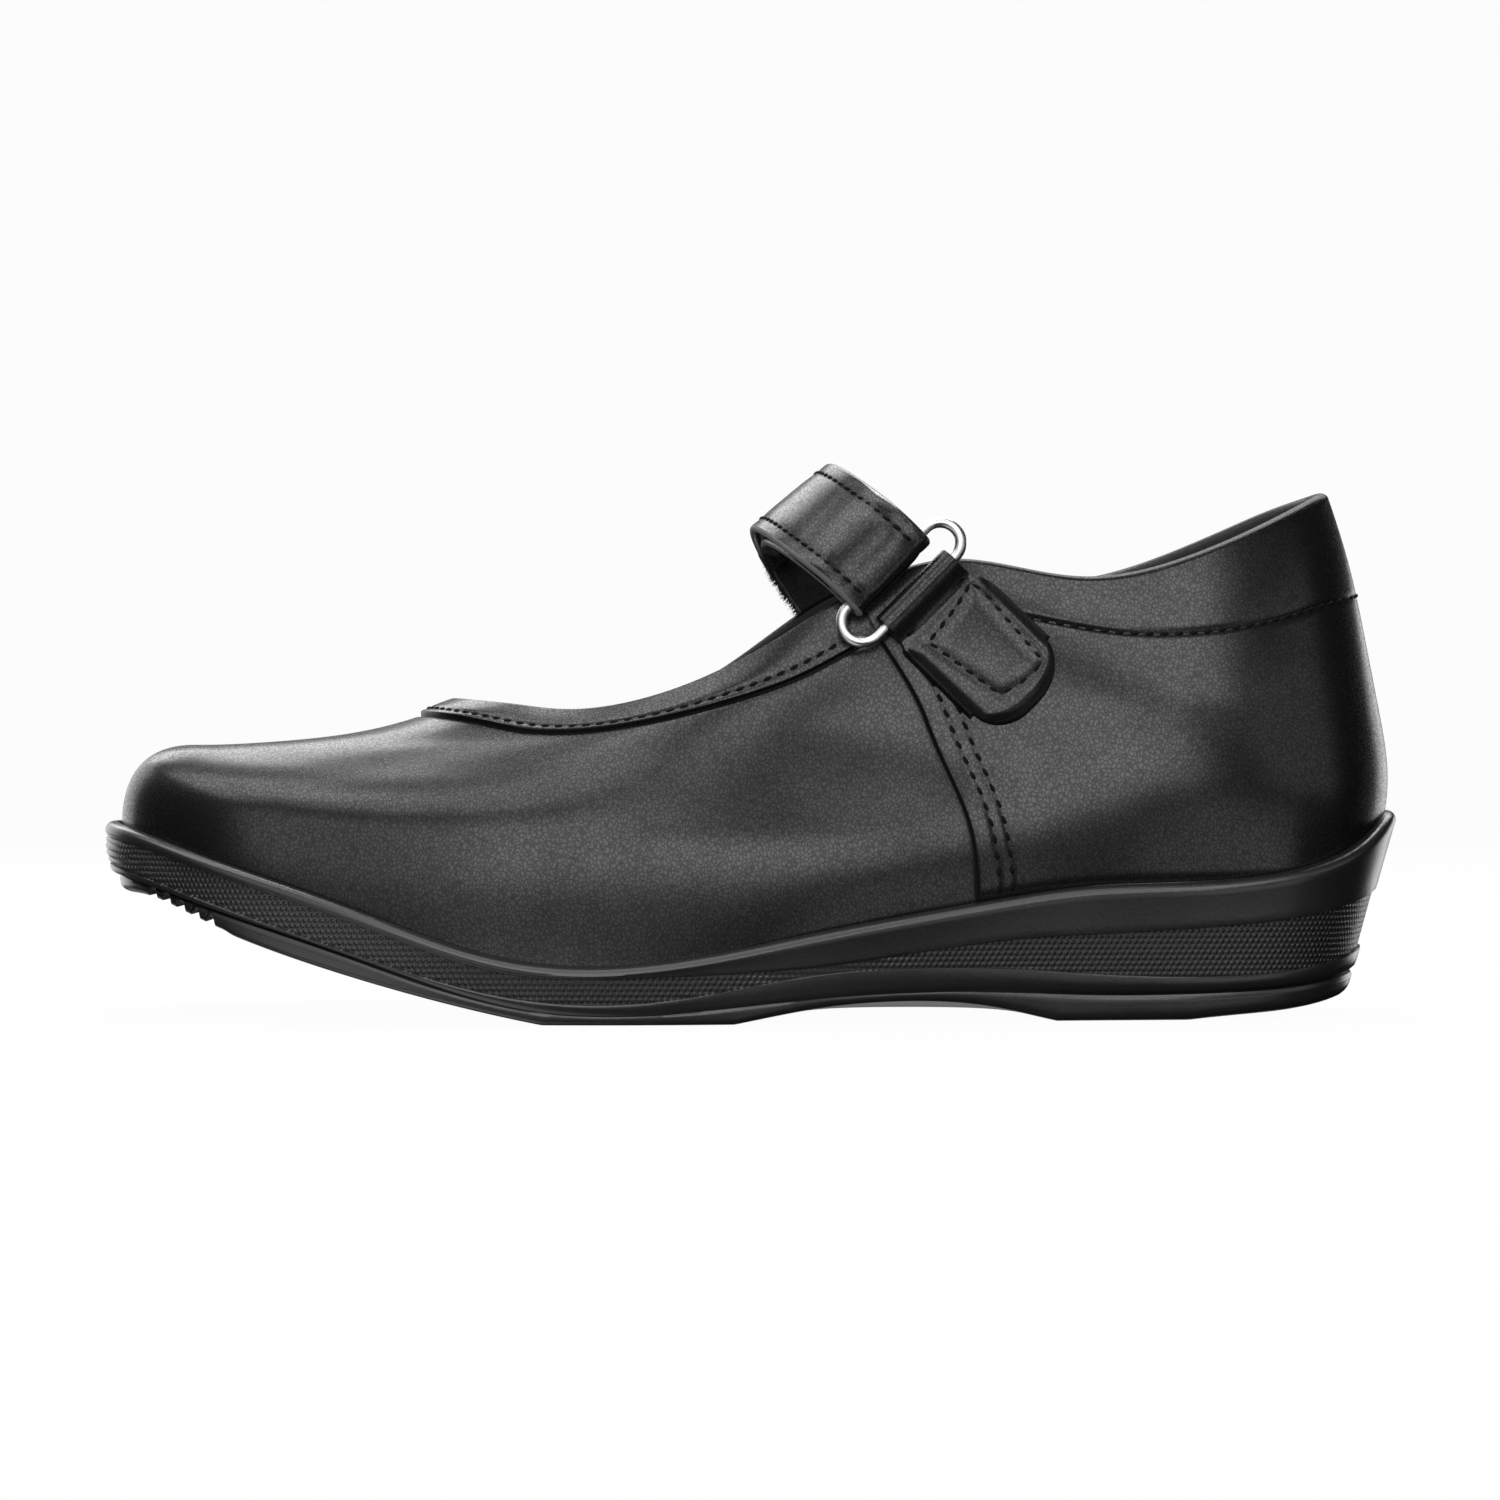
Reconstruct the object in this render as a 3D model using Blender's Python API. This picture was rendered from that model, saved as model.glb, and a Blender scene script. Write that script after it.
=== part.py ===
"""One-strap school shoe for a left foot, standing on its sole.

The toe points to -X, the outer (lateral) side of the foot to -Y, the floor is z = 0.
Fifteen sections run from the toe tip to the back of the heel. Each table below has one row for each
section, in millimetres, and smooth closed curves through the rows give the sole, the upper and the insole.
"""

import math
from collections import namedtuple

import bmesh
import bpy
import numpy as np

for old in list(bpy.data.objects):
    bpy.data.objects.remove(old, do_unlink=True)

MM = 0.001

# Driving sizes, in millimetres
SHOE_LENGTH = 222.0
BALL_WIDTH = 78.4
COUNTER_HEIGHT = 88.4

# Sizes at which the tables below are drawn
TABLE_LENGTH = 222.0
TABLE_WIDTH = 78.4
TABLE_HEIGHT = 88.4

# Walls, gaps and edges, in millimetres
FIT_GAP = 0.3
UPPER_WALL = 1.8
COLLAR_PADDING = 0.9
STRIP_RAISE = 0.7
COLLAR_RAISE = 0.35
QUARTER_RAISE = 0.6
EDGE_STEP = 0.3
INSOLE_THICKNESS = 2.5
LIP_ROUND = 1.6

# Tread, in millimetres
ARCH_BEND = 2.0
TOE_RIBS = 3
TOE_RIB_HEIGHT = 0.45
TREAD_DEPTH = 1.2
TOE_SLOT_PITCH = 2.7
TOE_SLOT_WIDTH = 1.2
TOE_SLOTS_FROM = -103.0
TOE_SLOT_COUNT = 6
GROOVE_WIDTH = 2.2
FOREFOOT_GROOVES = (-32.0, -24.5, -17.0, -9.5)
FOREFOOT_GROOVE_REACH = 29.0
HEEL_GROOVES = (58.0, 65.5, 73.0)
HEEL_GROOVE_REACH = 18.0

# Strap, ring and tab, in millimetres
STRAP_WIDTH = 17.4
STRAP_THICKNESS = 1.4
STRAP_AXIS_DEG = 39.2
INSTEP_TOP = (6.6, 0.0, 88.4)
STRAP_SHIFT = -0.4
TAPE_THICKNESS = 0.8
TAPE_GAP = 0.4
TAPE_WIDTH = 15.0
RING_CENTRE = (25.1, 72.2)
RING_AXIS_DEG = 45.5
RING_WIRE = 1.9
RING_HALF_STRAIGHT = 9.3
RING_HALF_WIDTH = 3.4
RING_LIFT = 3.8
TAB_LENGTH = 26.4
TAB_FROM = -7.6
TAB_TO = 8.9
TAB_FLARE = 1.4
TAB_LEAF = 1.3
TAB_CORNER = 7.0

# Sole outline seen from above, heights of its lip and of the bed, and where the upper starts inside the lip
Outline = namedtuple("Outline", "name x lateral medial lip bed inset lean")
OUTLINE = [
    Outline("toe tip", -111.0, 3.0, 3.0, 32.8, 28.5, 2.9, 6.0),
    Outline("toe front", -108.4, -8.2, 13.8, 32.2, 28.0, 2.9, 6.0),
    Outline("toe corner", -101.5, -17.2, 22.2, 30.4, 26.3, 2.9, 6.0),
    Outline("toe side", -88.0, -27.0, 30.6, 26.2, 22.0, 2.9, 6.0),
    Outline("vamp front", -66.0, -35.0, 37.0, 19.2, 14.8, 2.9, 7.0),
    Outline("ball front", -40.0, -38.8, 39.2, 10.9, 7.2, 2.9, 8.0),
    Outline("ball", -14.0, -39.2, 36.2, 10.4, 6.5, 2.9, 8.0),
    Outline("waist front", 12.0, -36.6, 31.2, 15.2, 11.2, 2.9, 7.0),
    Outline("side seam", 38.5, -32.6, 28.6, 19.9, 15.9, 2.9, 6.0),
    Outline("waist back", 57.0, -30.4, 28.0, 22.5, 18.2, 2.9, 6.0),
    Outline("heel front", 75.0, -28.9, 27.9, 23.2, 19.2, 3.0, 7.0),
    Outline("heel", 91.0, -25.8, 25.4, 25.0, 19.6, 3.5, 9.0),
    Outline("heel corner", 102.5, -19.6, 19.6, 28.8, 19.6, 4.6, 11.0),
    Outline("heel curve", 109.0, -10.4, 10.4, 33.4, 19.6, 5.6, 14.0),
    Outline("heel back", 111.0, 0.0, 0.0, 34.7, 19.6, 6.0, 15.0),
]

# Side wall of the sole: slope, textured band, groove, set-back and round edge of the tread layer, ground
Wall = namedtuple("Wall", "taper band_top band_low band_depth groove groove_depth layer edge "
                  "ground_lateral ground_medial")
WALL = [
    Wall(1.2, 30.6, 25.6, 0.4, 24.0, 1.0, 1.4, 1.2, 21.2, 21.2),
    Wall(1.2, 30.0, 25.0, 0.4, 23.3, 1.0, 1.4, 1.2, 20.7, 20.7),
    Wall(1.2, 28.2, 23.0, 0.5, 21.6, 1.0, 1.2, 1.1, 19.5, 19.5),
    Wall(1.2, 24.0, 18.8, 0.5, 17.6, 1.0, 1.0, 1.0, 14.4, 14.4),
    Wall(1.2, 17.0, 11.8, 0.5, 10.9, 0.7, 0.6, 0.9, 7.6, 7.6),
    Wall(1.2, 8.7, 4.6, 0.5, 3.1, 0.3, 0.2, 0.8, 1.2, 1.2),
    Wall(1.4, 8.0, 3.9, 0.4, 1.8, 0.2, 0.1, 0.8, -1.6, -1.6),
    Wall(2.6, 9.6, 8.0, 0.15, 4.2, 0.2, 0.1, 1.0, 2.5, -0.3),
    Wall(3.4, 13.2, 9.0, 0.4, 5.2, 0.5, 0.2, 1.2, 2.8, -0.3),
    Wall(3.8, 14.6, 7.9, 0.6, 4.6, 0.9, 0.3, 1.4, -0.9, -0.9),
    Wall(4.2, 15.6, 7.3, 0.6, 4.7, 1.1, 0.3, 1.6, 0.1, 0.1),
    Wall(5.2, 17.0, 8.0, 0.6, 5.4, 1.2, 0.3, 1.8, 1.3, 1.3),
    Wall(6.6, 19.2, 9.6, 0.6, 6.6, 1.2, 0.2, 2.0, 2.5, 2.5),
    Wall(7.8, 21.0, 11.0, 0.6, 7.3, 1.2, 0.2, 2.2, 3.0, 3.0),
    Wall(8.2, 21.6, 11.6, 0.6, 7.5, 1.2, 0.2, 2.2, 3.2, 3.2),
]

# Shoulder of the upper, where its side turns over, with the slope of the leather there
Shoulder = namedtuple("Shoulder", "x lateral medial height slope")
SHOULDER = [
    Shoulder(-96.0, 3.0, 3.0, 45.9, 0.0),
    Shoulder(-94.3, -3.6, 9.2, 45.7, 3.0),
    Shoulder(-89.8, -9.8, 15.0, 44.8, 10.0),
    Shoulder(-81.0, -17.2, 21.2, 43.0, 21.0),
    Shoulder(-62.5, -24.6, 26.6, 41.6, 34.0),
    Shoulder(-38.5, -29.8, 29.8, 41.0, 47.0),
    Shoulder(-15.5, -31.2, 29.2, 44.5, 60.0),
    Shoulder(6.0, -30.8, 27.8, 49.0, 73.0),
    Shoulder(29.5, -30.0, 27.2, 50.0, 82.0),
    Shoulder(48.0, -29.2, 27.2, 50.0, 84.0),
    Shoulder(69.0, -27.8, 26.8, 51.0, 82.0),
    Shoulder(87.0, -24.2, 23.8, 52.0, 80.0),
    Shoulder(99.4, -17.8, 17.8, 52.4, 79.0),
    Shoulder(105.6, -9.4, 9.4, 52.6, 79.0),
    Shoulder(107.4, 0.0, 0.0, 52.6, 79.0),
]

# Edge of the opening, the slope of the leather there, and the width of the strip or collar panel below it
Topline = namedtuple("Topline", "x lateral medial height_lateral height_medial slope trim")
TOPLINE = [
    Topline(-51.0, 1.5, 1.5, 53.2, 53.2, 25.0, 6.0),
    Topline(-49.3, -5.4, 8.2, 53.1, 53.1, 26.0, 6.0),
    Topline(-45.2, -11.6, 13.8, 52.7, 52.7, 29.0, 6.2),
    Topline(-38.6, -16.8, 17.8, 52.0, 52.0, 35.0, 6.6),
    Topline(-29.6, -20.8, 20.8, 51.2, 51.2, 42.0, 7.3),
    Topline(-18.6, -23.6, 22.6, 52.7, 52.7, 50.0, 7.8),
    Topline(-6.5, -25.4, 23.8, 56.9, 57.8, 59.0, 8.0),
    Topline(6.0, -26.3, 24.4, 63.6, 66.6, 68.0, 7.8),
    Topline(18.0, -26.5, 24.6, 71.0, 73.3, 76.0, 7.8),
    Topline(35.0, -26.0, 24.3, 75.9, 75.6, 80.0, 9.0),
    Topline(56.0, -24.6, 23.4, 72.9, 74.0, 82.0, 9.8),
    Topline(76.0, -20.6, 20.0, 77.2, 79.3, 79.0, 13.2),
    Topline(89.8, -14.2, 14.0, 83.4, 85.2, 75.0, 15.6),
    Topline(97.0, -7.2, 7.2, 87.0, 87.7, 72.0, 17.0),
    Topline(99.3, 0.0, 0.0, 88.3, 88.3, 71.0, 17.4),
]

LAST_ROW = len(OUTLINE) - 1
ROUND = 2 * LAST_ROW
SEAM_ROW = 8
STATIONS_PER_ROW = 3

# Middle line of the strap over the foot: sideways place, drop below the instep top, drift along it
StrapRow = namedtuple("StrapRow", "name y drop drift")
STRAP = [
    StrapRow("sewn end", 29.0, 37.0, -1.6),
    StrapRow("inner wall", 28.2, 27.5, -1.8),
    StrapRow("inner rim", 26.6, 18.0, -1.8),
    StrapRow("inner shoulder", 21.2, 9.2, -1.3),
    StrapRow("instep inner", 12.0, 4.2, -0.6),
    StrapRow("instep", 0.0, 2.2, 0.0),
    StrapRow("instep outer", -12.0, 3.2, 0.7),
    StrapRow("outer shoulder", -22.8, 8.2, 1.8),
]
STRAP_STRAIGHT = 5.5
STRAP_STATIONS = 3
STRAP_CORNER = 5.0
SEWN_ROW_LENGTH = 9.6
FREE_END = 2.7
FREE_ROW_LENGTH = 10.0
FOLD_STEPS = 8


def periodic_spline(values):
    """Smooth closed curve through values at 0, 1, 2 and so on, with no jump in its curvature."""
    values = np.asarray(values, float)
    count = len(values)
    unit = np.eye(count)
    system = 4.0 * unit + np.roll(unit, 1, axis=1) + np.roll(unit, -1, axis=1)
    bend = np.linalg.solve(system, 6.0 * (np.roll(values, -1) - 2.0 * values + np.roll(values, 1)))

    def at(place):
        place = np.asarray(place, float) % count
        before = np.floor(place).astype(int) % count
        after = (before + 1) % count
        share = place - np.floor(place)
        rest = 1.0 - share
        bent = (rest ** 3 - rest) * bend[before] + (share ** 3 - share) * bend[after]
        return rest * values[before] + share * values[after] + bent / 6.0

    return at


def open_spline(points):
    """Smooth open curve through points at 0, 1, 2 and so on, straight at both ends."""
    points = np.asarray(points, float)
    count = len(points)
    system = np.eye(count)
    wanted = np.zeros_like(points)
    for row in range(1, count - 1):
        system[row, row - 1:row + 2] = (1.0, 4.0, 1.0)
        wanted[row] = 6.0 * (points[row - 1] - 2.0 * points[row] + points[row + 1])
    bend = np.linalg.solve(system, wanted)

    def at(place):
        place = np.clip(np.asarray(place, float), 0.0, count - 1.0)
        before = np.minimum(np.floor(place).astype(int), count - 2)
        share = (place - before)[..., None]
        rest = 1.0 - share
        bent = (rest ** 3 - rest) * bend[before] + (share ** 3 - share) * bend[before + 1]
        return rest * points[before] + share * points[before + 1] + bent / 6.0

    return at


def column(table, name, scale=1.0):
    return scale * np.array([getattr(row, name) for row in table])


def around(lateral, medial=None):
    """Closed curve from the toe along the lateral side to the heel and back along the medial side."""
    medial = lateral if medial is None else medial
    return periodic_spline(np.concatenate([lateral, medial[-2:0:-1]]))


LONG = SHOE_LENGTH / TABLE_LENGTH
WIDE = BALL_WIDTH / TABLE_WIDTH
HIGH = COUNTER_HEIGHT / TABLE_HEIGHT


def loop(table, lateral_height, medial_height):
    """Three curves, for x, y and z, round one line of the shoe."""
    x = around(column(table, "x", LONG))
    y = around(column(table, "lateral", WIDE), column(table, "medial", WIDE))
    z = around(column(table, lateral_height, HIGH), column(table, medial_height, HIGH))
    return x, y, z


lip_line = loop(OUTLINE, "lip", "lip")
shoulder_line = loop(SHOULDER, "height", "height")
top_line = loop(TOPLINE, "height_lateral", "height_medial")
bed_height = around(column(OUTLINE, "bed", HIGH))
feather_inset = around(column(OUTLINE, "inset"))
feather_lean = around(np.radians(column(OUTLINE, "lean")))
shoulder_slope = around(np.radians(column(SHOULDER, "slope")))
top_slope = around(np.radians(column(TOPLINE, "slope")))
trim_width = around(column(TOPLINE, "trim", HIGH))
wall = {name: around(column(WALL, name)) for name in Wall._fields if not name.startswith("ground")}
ground_line = around(column(WALL, "ground_lateral"), column(WALL, "ground_medial"))

UP = np.array([0.0, 0.0, 1.0])


def unit(vectors):
    return vectors / np.linalg.norm(vectors, axis=-1, keepdims=True)


def smooth_step(low, high, value):
    share = np.clip((value - low) / (high - low), 0.0, 1.0)
    return share * share * (3.0 - 2.0 * share)


def line_point(line, place):
    return np.stack([curve(place) for curve in line], axis=-1)


def line_frame(line, place):
    """Directions along a line and out of it, seen from above."""
    ahead = line_point(line, place + 0.01) - line_point(line, place - 0.01)
    ahead[..., 2] = 0.0
    along = unit(ahead)
    out = np.stack([along[..., 1], -along[..., 0], np.zeros_like(along[..., 0])], axis=-1)
    return along, out


def sole_edge(place, inset, height):
    """Points inside the lip's outline by an inset, at a height."""
    point = line_point(lip_line, place)
    out = line_frame(lip_line, place)[1]
    point = point - np.asarray(inset)[..., None] * out
    point[..., 2] = height
    return point


def rib_handles(place):
    """Seven control points of the two Bezier arcs of one rib of the upper, from the sole to the opening."""
    foot = sole_edge(place, feather_inset(place), bed_height(place) + FIT_GAP)
    knee = line_point(shoulder_line, place)
    top = line_point(top_line, place)
    foot_out = line_frame(lip_line, place)[1]
    knee_along, knee_out = line_frame(shoulder_line, place)
    top_along, top_out = line_frame(top_line, place)
    rise = (top - foot)[..., 2:]
    knee_drift = np.sum((top - foot) * knee_along, axis=-1, keepdims=True) / rise
    top_drift = np.sum((top - foot) * top_along, axis=-1, keepdims=True) / rise
    slope = shoulder_slope(place)[..., None]
    knee_way = unit(-knee_out * np.cos(slope) + UP * np.sin(slope) + knee_along * knee_drift * np.sin(slope))
    slope = top_slope(place)[..., None]
    top_way = unit(-top_out * np.cos(slope) + UP * np.sin(slope) + top_along * top_drift * np.sin(slope))
    lean = feather_lean(place)[..., None]
    foot_way = foot_out * np.sin(lean) + UP * np.cos(lean)
    low = np.linalg.norm(knee - foot, axis=-1, keepdims=True)
    high = np.linalg.norm(top - knee, axis=-1, keepdims=True)
    return (foot, foot + foot_way * low * 0.55, knee - knee_way * low * 0.42, knee,
            knee + knee_way * high * 0.33, top - top_way * high * 0.33, top)


def bezier(start, first, second, end, share):
    share = share[..., None]
    rest = 1.0 - share
    early = rest ** 3 * start + 3.0 * rest ** 2 * share * first
    late = 3.0 * rest * share ** 2 * second + share ** 3 * end
    return early + late


def rib_point(handles, share):
    """Point of a rib for a share of 0 to 2, where 1 is the shoulder."""
    low = bezier(*handles[:4], np.clip(share, 0.0, 1.0))
    high = bezier(*handles[3:], np.clip(share - 1.0, 0.0, 1.0))
    return np.where(share[..., None] < 1.0, low, high)


SAMPLES = 48


def upper_point(place, rise):
    """Outer face of the base leather: place goes round the shoe, rise is 0 at the sole and 1 at the top."""
    place, rise = np.broadcast_arrays(np.asarray(place, float), np.asarray(rise, float))
    shape = place.shape
    place, rise = place.ravel(), rise.ravel()
    handles = rib_handles(place)
    shares = np.linspace(0.0, 2.0, SAMPLES + 1)
    every = [handle[:, None, :] for handle in handles]
    line = rib_point(every, np.broadcast_to(shares, (len(place), SAMPLES + 1)))
    steps = np.linalg.norm(np.diff(line, axis=1), axis=2)
    run = np.concatenate([np.zeros((len(place), 1)), np.cumsum(steps, axis=1)], axis=1)
    wanted = np.clip(rise, 0.0, 1.0) * run[:, -1]
    before = np.minimum((run[:, 1:-1] <= wanted[:, None]).sum(axis=1), SAMPLES - 1)
    rows = np.arange(len(place))
    part = (wanted - run[rows, before]) / steps[rows, before]
    point = rib_point(handles, shares[before] + part * 2.0 / SAMPLES)
    beyond = np.maximum(rise - 1.0, 0.0) * run[:, -1]
    point = point + unit(handles[6] - handles[5]) * beyond[:, None]
    return point.reshape(shape + (3,))


def upper_normal(place, rise):
    place, rise = np.broadcast_arrays(np.asarray(place, float), np.asarray(rise, float))
    rise = np.clip(rise, 0.004, 0.996)
    across = upper_point(place + 0.02, rise) - upper_point(place - 0.02, rise)
    upward = upper_point(place, rise + 0.004) - upper_point(place, rise - 0.004)
    return unit(np.cross(across, upward))


def rib_length(place):
    rises = np.linspace(0.0, 1.0, 61)
    line = upper_point(place[:, None], rises[None, :])
    return np.linalg.norm(np.diff(line, axis=1), axis=2).sum(axis=1)


def rise_at_height(place, height):
    """Share of each rib at which the lower part of the upper reaches a height."""
    rises = np.linspace(0.0, 0.6, 121)
    heights = upper_point(place[:, None], rises[None, :])[..., 2]
    return np.array([np.interp(wanted, line, rises) for wanted, line in zip(height, heights)])


def side_point(x, z, medial=False):
    """Point of the upper's outer face seen at x and z from its lateral or its medial side."""
    x, z = np.broadcast_arrays(np.asarray(x, float), np.asarray(z, float))
    shape = x.shape
    x, z = x.ravel(), z.ravel()
    rows = np.linspace(5.0, 12.0, 29)
    rows = ROUND - rows if medial else rows
    rises = np.linspace(0.3, 1.2, 19)
    place, rise = [grid.ravel() for grid in np.meshgrid(rows, rises)]
    known = upper_point(place, rise)
    nearest = np.argmin((x[:, None] - known[:, 0]) ** 2 + (z[:, None] - known[:, 2]) ** 2, axis=1)
    place, rise = place[nearest], rise[nearest]
    for _ in range(6):
        here = upper_point(place, rise)
        by_place = (upper_point(place + 0.01, rise) - here) / 0.01
        by_rise = (upper_point(place, rise + 0.005) - here) / 0.005
        miss_x, miss_z = x - here[:, 0], z - here[:, 2]
        size = by_place[:, 0] * by_rise[:, 2] - by_place[:, 2] * by_rise[:, 0]
        place = place + (miss_x * by_rise[:, 2] - miss_z * by_rise[:, 0]) / size
        rise = rise + (by_place[:, 0] * miss_z - by_place[:, 2] * miss_x) / size
    return upper_point(place, rise).reshape(shape + (3,))


def stations():
    """Places round the shoe, the same for every piece so that their flats lie side by side."""
    half = np.linspace(0.0, LAST_ROW, LAST_ROW * STATIONS_PER_ROW + 1)
    half = np.sort(np.append(half, SEAM_ROW - 0.02))
    return np.concatenate([half, (ROUND - half[-2:0:-1])])


PLACES = stations()
HALF_COUNT = len(PLACES) // 2


def make_material(name, colour, roughness, metallic=0.0):
    material = bpy.data.materials.new(name)
    material.use_nodes = True
    shader = material.node_tree.nodes["Principled BSDF"]
    shader.inputs["Base Color"].default_value = (*colour, 1.0)
    shader.inputs["Roughness"].default_value = roughness
    shader.inputs["Metallic"].default_value = metallic
    return material


def make_object(name, bm, material):
    """Object from a bmesh in millimetres, with its faces turned outward."""
    bmesh.ops.recalc_face_normals(bm, faces=bm.faces)
    bmesh.ops.scale(bm, vec=(MM, MM, MM), verts=bm.verts)
    mesh = bpy.data.meshes.new(name)
    bm.to_mesh(mesh)
    bm.free()
    thing = bpy.data.objects.new(name, mesh)
    bpy.context.scene.collection.objects.link(thing)
    if material is not None:
        thing.data.materials.append(material)
    return thing


def add_face(bm, corners):
    corners = list(dict.fromkeys(corners))
    if len(corners) > 2:
        bm.faces.new(corners)


def add_rings(bm, rings, joined=False):
    """Skin over closed rings of points. The last ring also meets the first where joined is set."""
    made = [[bm.verts.new(point) for point in ring] for ring in rings]
    pairs = list(zip(made, made[1:]))
    if joined:
        pairs.append((made[-1], made[0]))
    for low, high in pairs:
        for here in range(len(low)):
            after = (here + 1) % len(low)
            add_face(bm, (low[here], low[after], high[after], high[here]))
    return made


def add_span(bm, ring, parts, bend=1.0):
    """Face across a ring, in strips. A bend over 1 keeps the lateral side's height near its edge."""
    rows = []
    for here in range(HALF_COUNT + 1):
        lateral, medial = ring[here], ring[-here % len(ring)]
        if lateral is medial:
            rows.append([lateral] * (parts + 1))
            continue
        between = [bm.verts.new(lateral.co.lerp(medial.co, step / parts)) for step in range(1, parts)]
        for step, vertex in enumerate(between, 1):
            vertex.co.z = medial.co.z + (lateral.co.z - medial.co.z) * (1.0 - step / parts) ** bend
        rows.append([lateral] + between + [medial])
    for low, high in zip(rows, rows[1:]):
        for step in range(parts):
            add_face(bm, (low[step], high[step], high[step + 1], low[step + 1]))


def cut(thing, name, cutter):
    """Boolean difference with a hidden wire object."""
    tool = make_object(name, cutter, None)
    tool.hide_render = True
    tool.display_type = "WIRE"
    change = thing.modifiers.new("Cut", "BOOLEAN")
    change.operation = "DIFFERENCE"
    change.solver = "EXACT"
    change.object = tool


def trim_raise(place):
    """Height of the throat strip, which fades to that of the collar panel behind the seam."""
    row = np.minimum(place, ROUND - place)
    return STRIP_RAISE + (COLLAR_RAISE - STRIP_RAISE) * smooth_step(7.6, 8.6, row)


def make_upper(material):
    bm = bmesh.new()
    length = rib_length(PLACES)
    row = np.minimum(PLACES, ROUND - PLACES)
    panel = np.where(row > SEAM_ROW - 0.01, QUARTER_RAISE, 0.0)
    trim_from = 1.0 - trim_width(PLACES) / length
    padded = smooth_step(8.0, 9.5, row)

    def ring(rise, out):
        return upper_point(PLACES, rise) + upper_normal(PLACES, rise) * np.asarray(out)[..., None]

    lip_rise = rise_at_height(PLACES, lip_line[2](PLACES))
    rings = [ring(share * lip_rise, 0.0 * panel) for share in (0.0, 0.5, 1.0)]
    panel_from = lip_rise + 2.0 * EDGE_STEP / length
    for share in (0.0, 0.09, 0.18, 0.27, 0.37, 0.48, 0.60, 0.73, 0.87, 1.0):
        rings.append(ring(panel_from + share * (trim_from - panel_from), panel))
    trim_low = trim_from + EDGE_STEP / length
    rings.append(ring(trim_low, trim_raise(PLACES)))
    rings.append(ring((trim_low + 1.0) / 2.0, trim_raise(PLACES) + 0.25 * padded))
    rings.append(ring(np.full_like(length, 1.0), trim_raise(PLACES)))
    rim_wall = UPPER_WALL + COLLAR_PADDING * padded
    rings.append(ring(1.0 + 0.5 / length, 0.5 * (trim_raise(PLACES) - rim_wall)))
    rings.append(ring(np.full_like(length, 1.0), -rim_wall))
    rings.append(ring((trim_low + 1.0) / 2.0, -rim_wall))
    for share in (1.0, 0.84, 0.68, 0.52, 0.37, 0.22, 0.1, 0.0):
        rings.append(ring(share * trim_from, 0.0 * panel - UPPER_WALL))
    rings[0][:, 2] = bed_height(PLACES) + FIT_GAP
    rings[-1][:, 2] = bed_height(PLACES) + FIT_GAP
    add_rings(bm, rings, joined=True)
    return make_object("upper", bm, material)


def toe_share(place):
    """1 at the front of the toe, 0 from the toe's corners on."""
    row = np.minimum(place, ROUND - place)
    return 1.0 - smooth_step(0.8, 2.4, row)


def make_sole(material):
    bm = bmesh.new()
    lip = lip_line[2](PLACES)
    bed = bed_height(PLACES)
    ground = np.maximum(ground_line(PLACES), 0.0)
    size = {name: curve(PLACES) for name, curve in wall.items()}
    out = line_frame(lip_line, PLACES)[1]

    def outer(height, inset=0.0):
        slope = size["taper"] * (lip - LIP_ROUND - height) / (lip - LIP_ROUND - ground)
        return sole_edge(PLACES, np.maximum(slope, 0.0) + inset, height)

    def inner(height):
        point = upper_point(PLACES, rise_at_height(PLACES, height)) + out * FIT_GAP
        point[:, 2] = height
        return point

    def lip_top(share, height):
        return share * inner(height) + (1.0 - share) * outer(height)

    rings = [inner(bed + FIT_GAP) - UP * FIT_GAP]
    rings += [inner(bed + share * (lip - bed)) for share in (0.35, 0.68)]
    rings.append(inner(lip - 0.2 * LIP_ROUND))
    rings.append(lip_top(0.65, lip))
    rings.append(lip_top(0.22, lip - 0.4 * LIP_ROUND))
    rings.append(outer(lip - LIP_ROUND))
    rings.append(outer(size["band_top"] + EDGE_STEP))
    depth = size["band_depth"]
    rings.append(outer(size["band_top"], depth))
    marks = 2 * TOE_RIBS
    for mark in range(1, marks):
        height = size["band_top"] + (size["band_low"] - size["band_top"]) * mark / marks
        rings.append(outer(height, depth - (mark % 2) * toe_share(PLACES) * TOE_RIB_HEIGHT))
    rings.append(outer(size["band_low"], depth))
    rings.append(outer(size["band_low"] - EDGE_STEP))
    rings.append(outer(size["groove"] + 0.6))
    rings.append(outer(size["groove"], size["groove_depth"] + size["layer"]))
    edge = np.minimum(size["edge"], 0.6 * (size["groove"] - ground))
    top = np.minimum(0.7, 0.5 * (size["groove"] - ground - edge))
    rings.append(outer(size["groove"] - top, size["layer"]))
    rings.append(outer(ground + edge, size["layer"]))
    rings.append(outer(ground + 0.3 * edge, size["layer"] + 0.3 * edge))
    rings.append(outer(ground, size["layer"] + edge))
    made = add_rings(bm, rings)
    add_span(bm, made[0], 4)
    add_span(bm, made[-1], 6, ARCH_BEND)
    sole = make_object("sole_unit", bm, material)
    cut(sole, "tread_cutter", tread_slots())
    return sole


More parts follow.
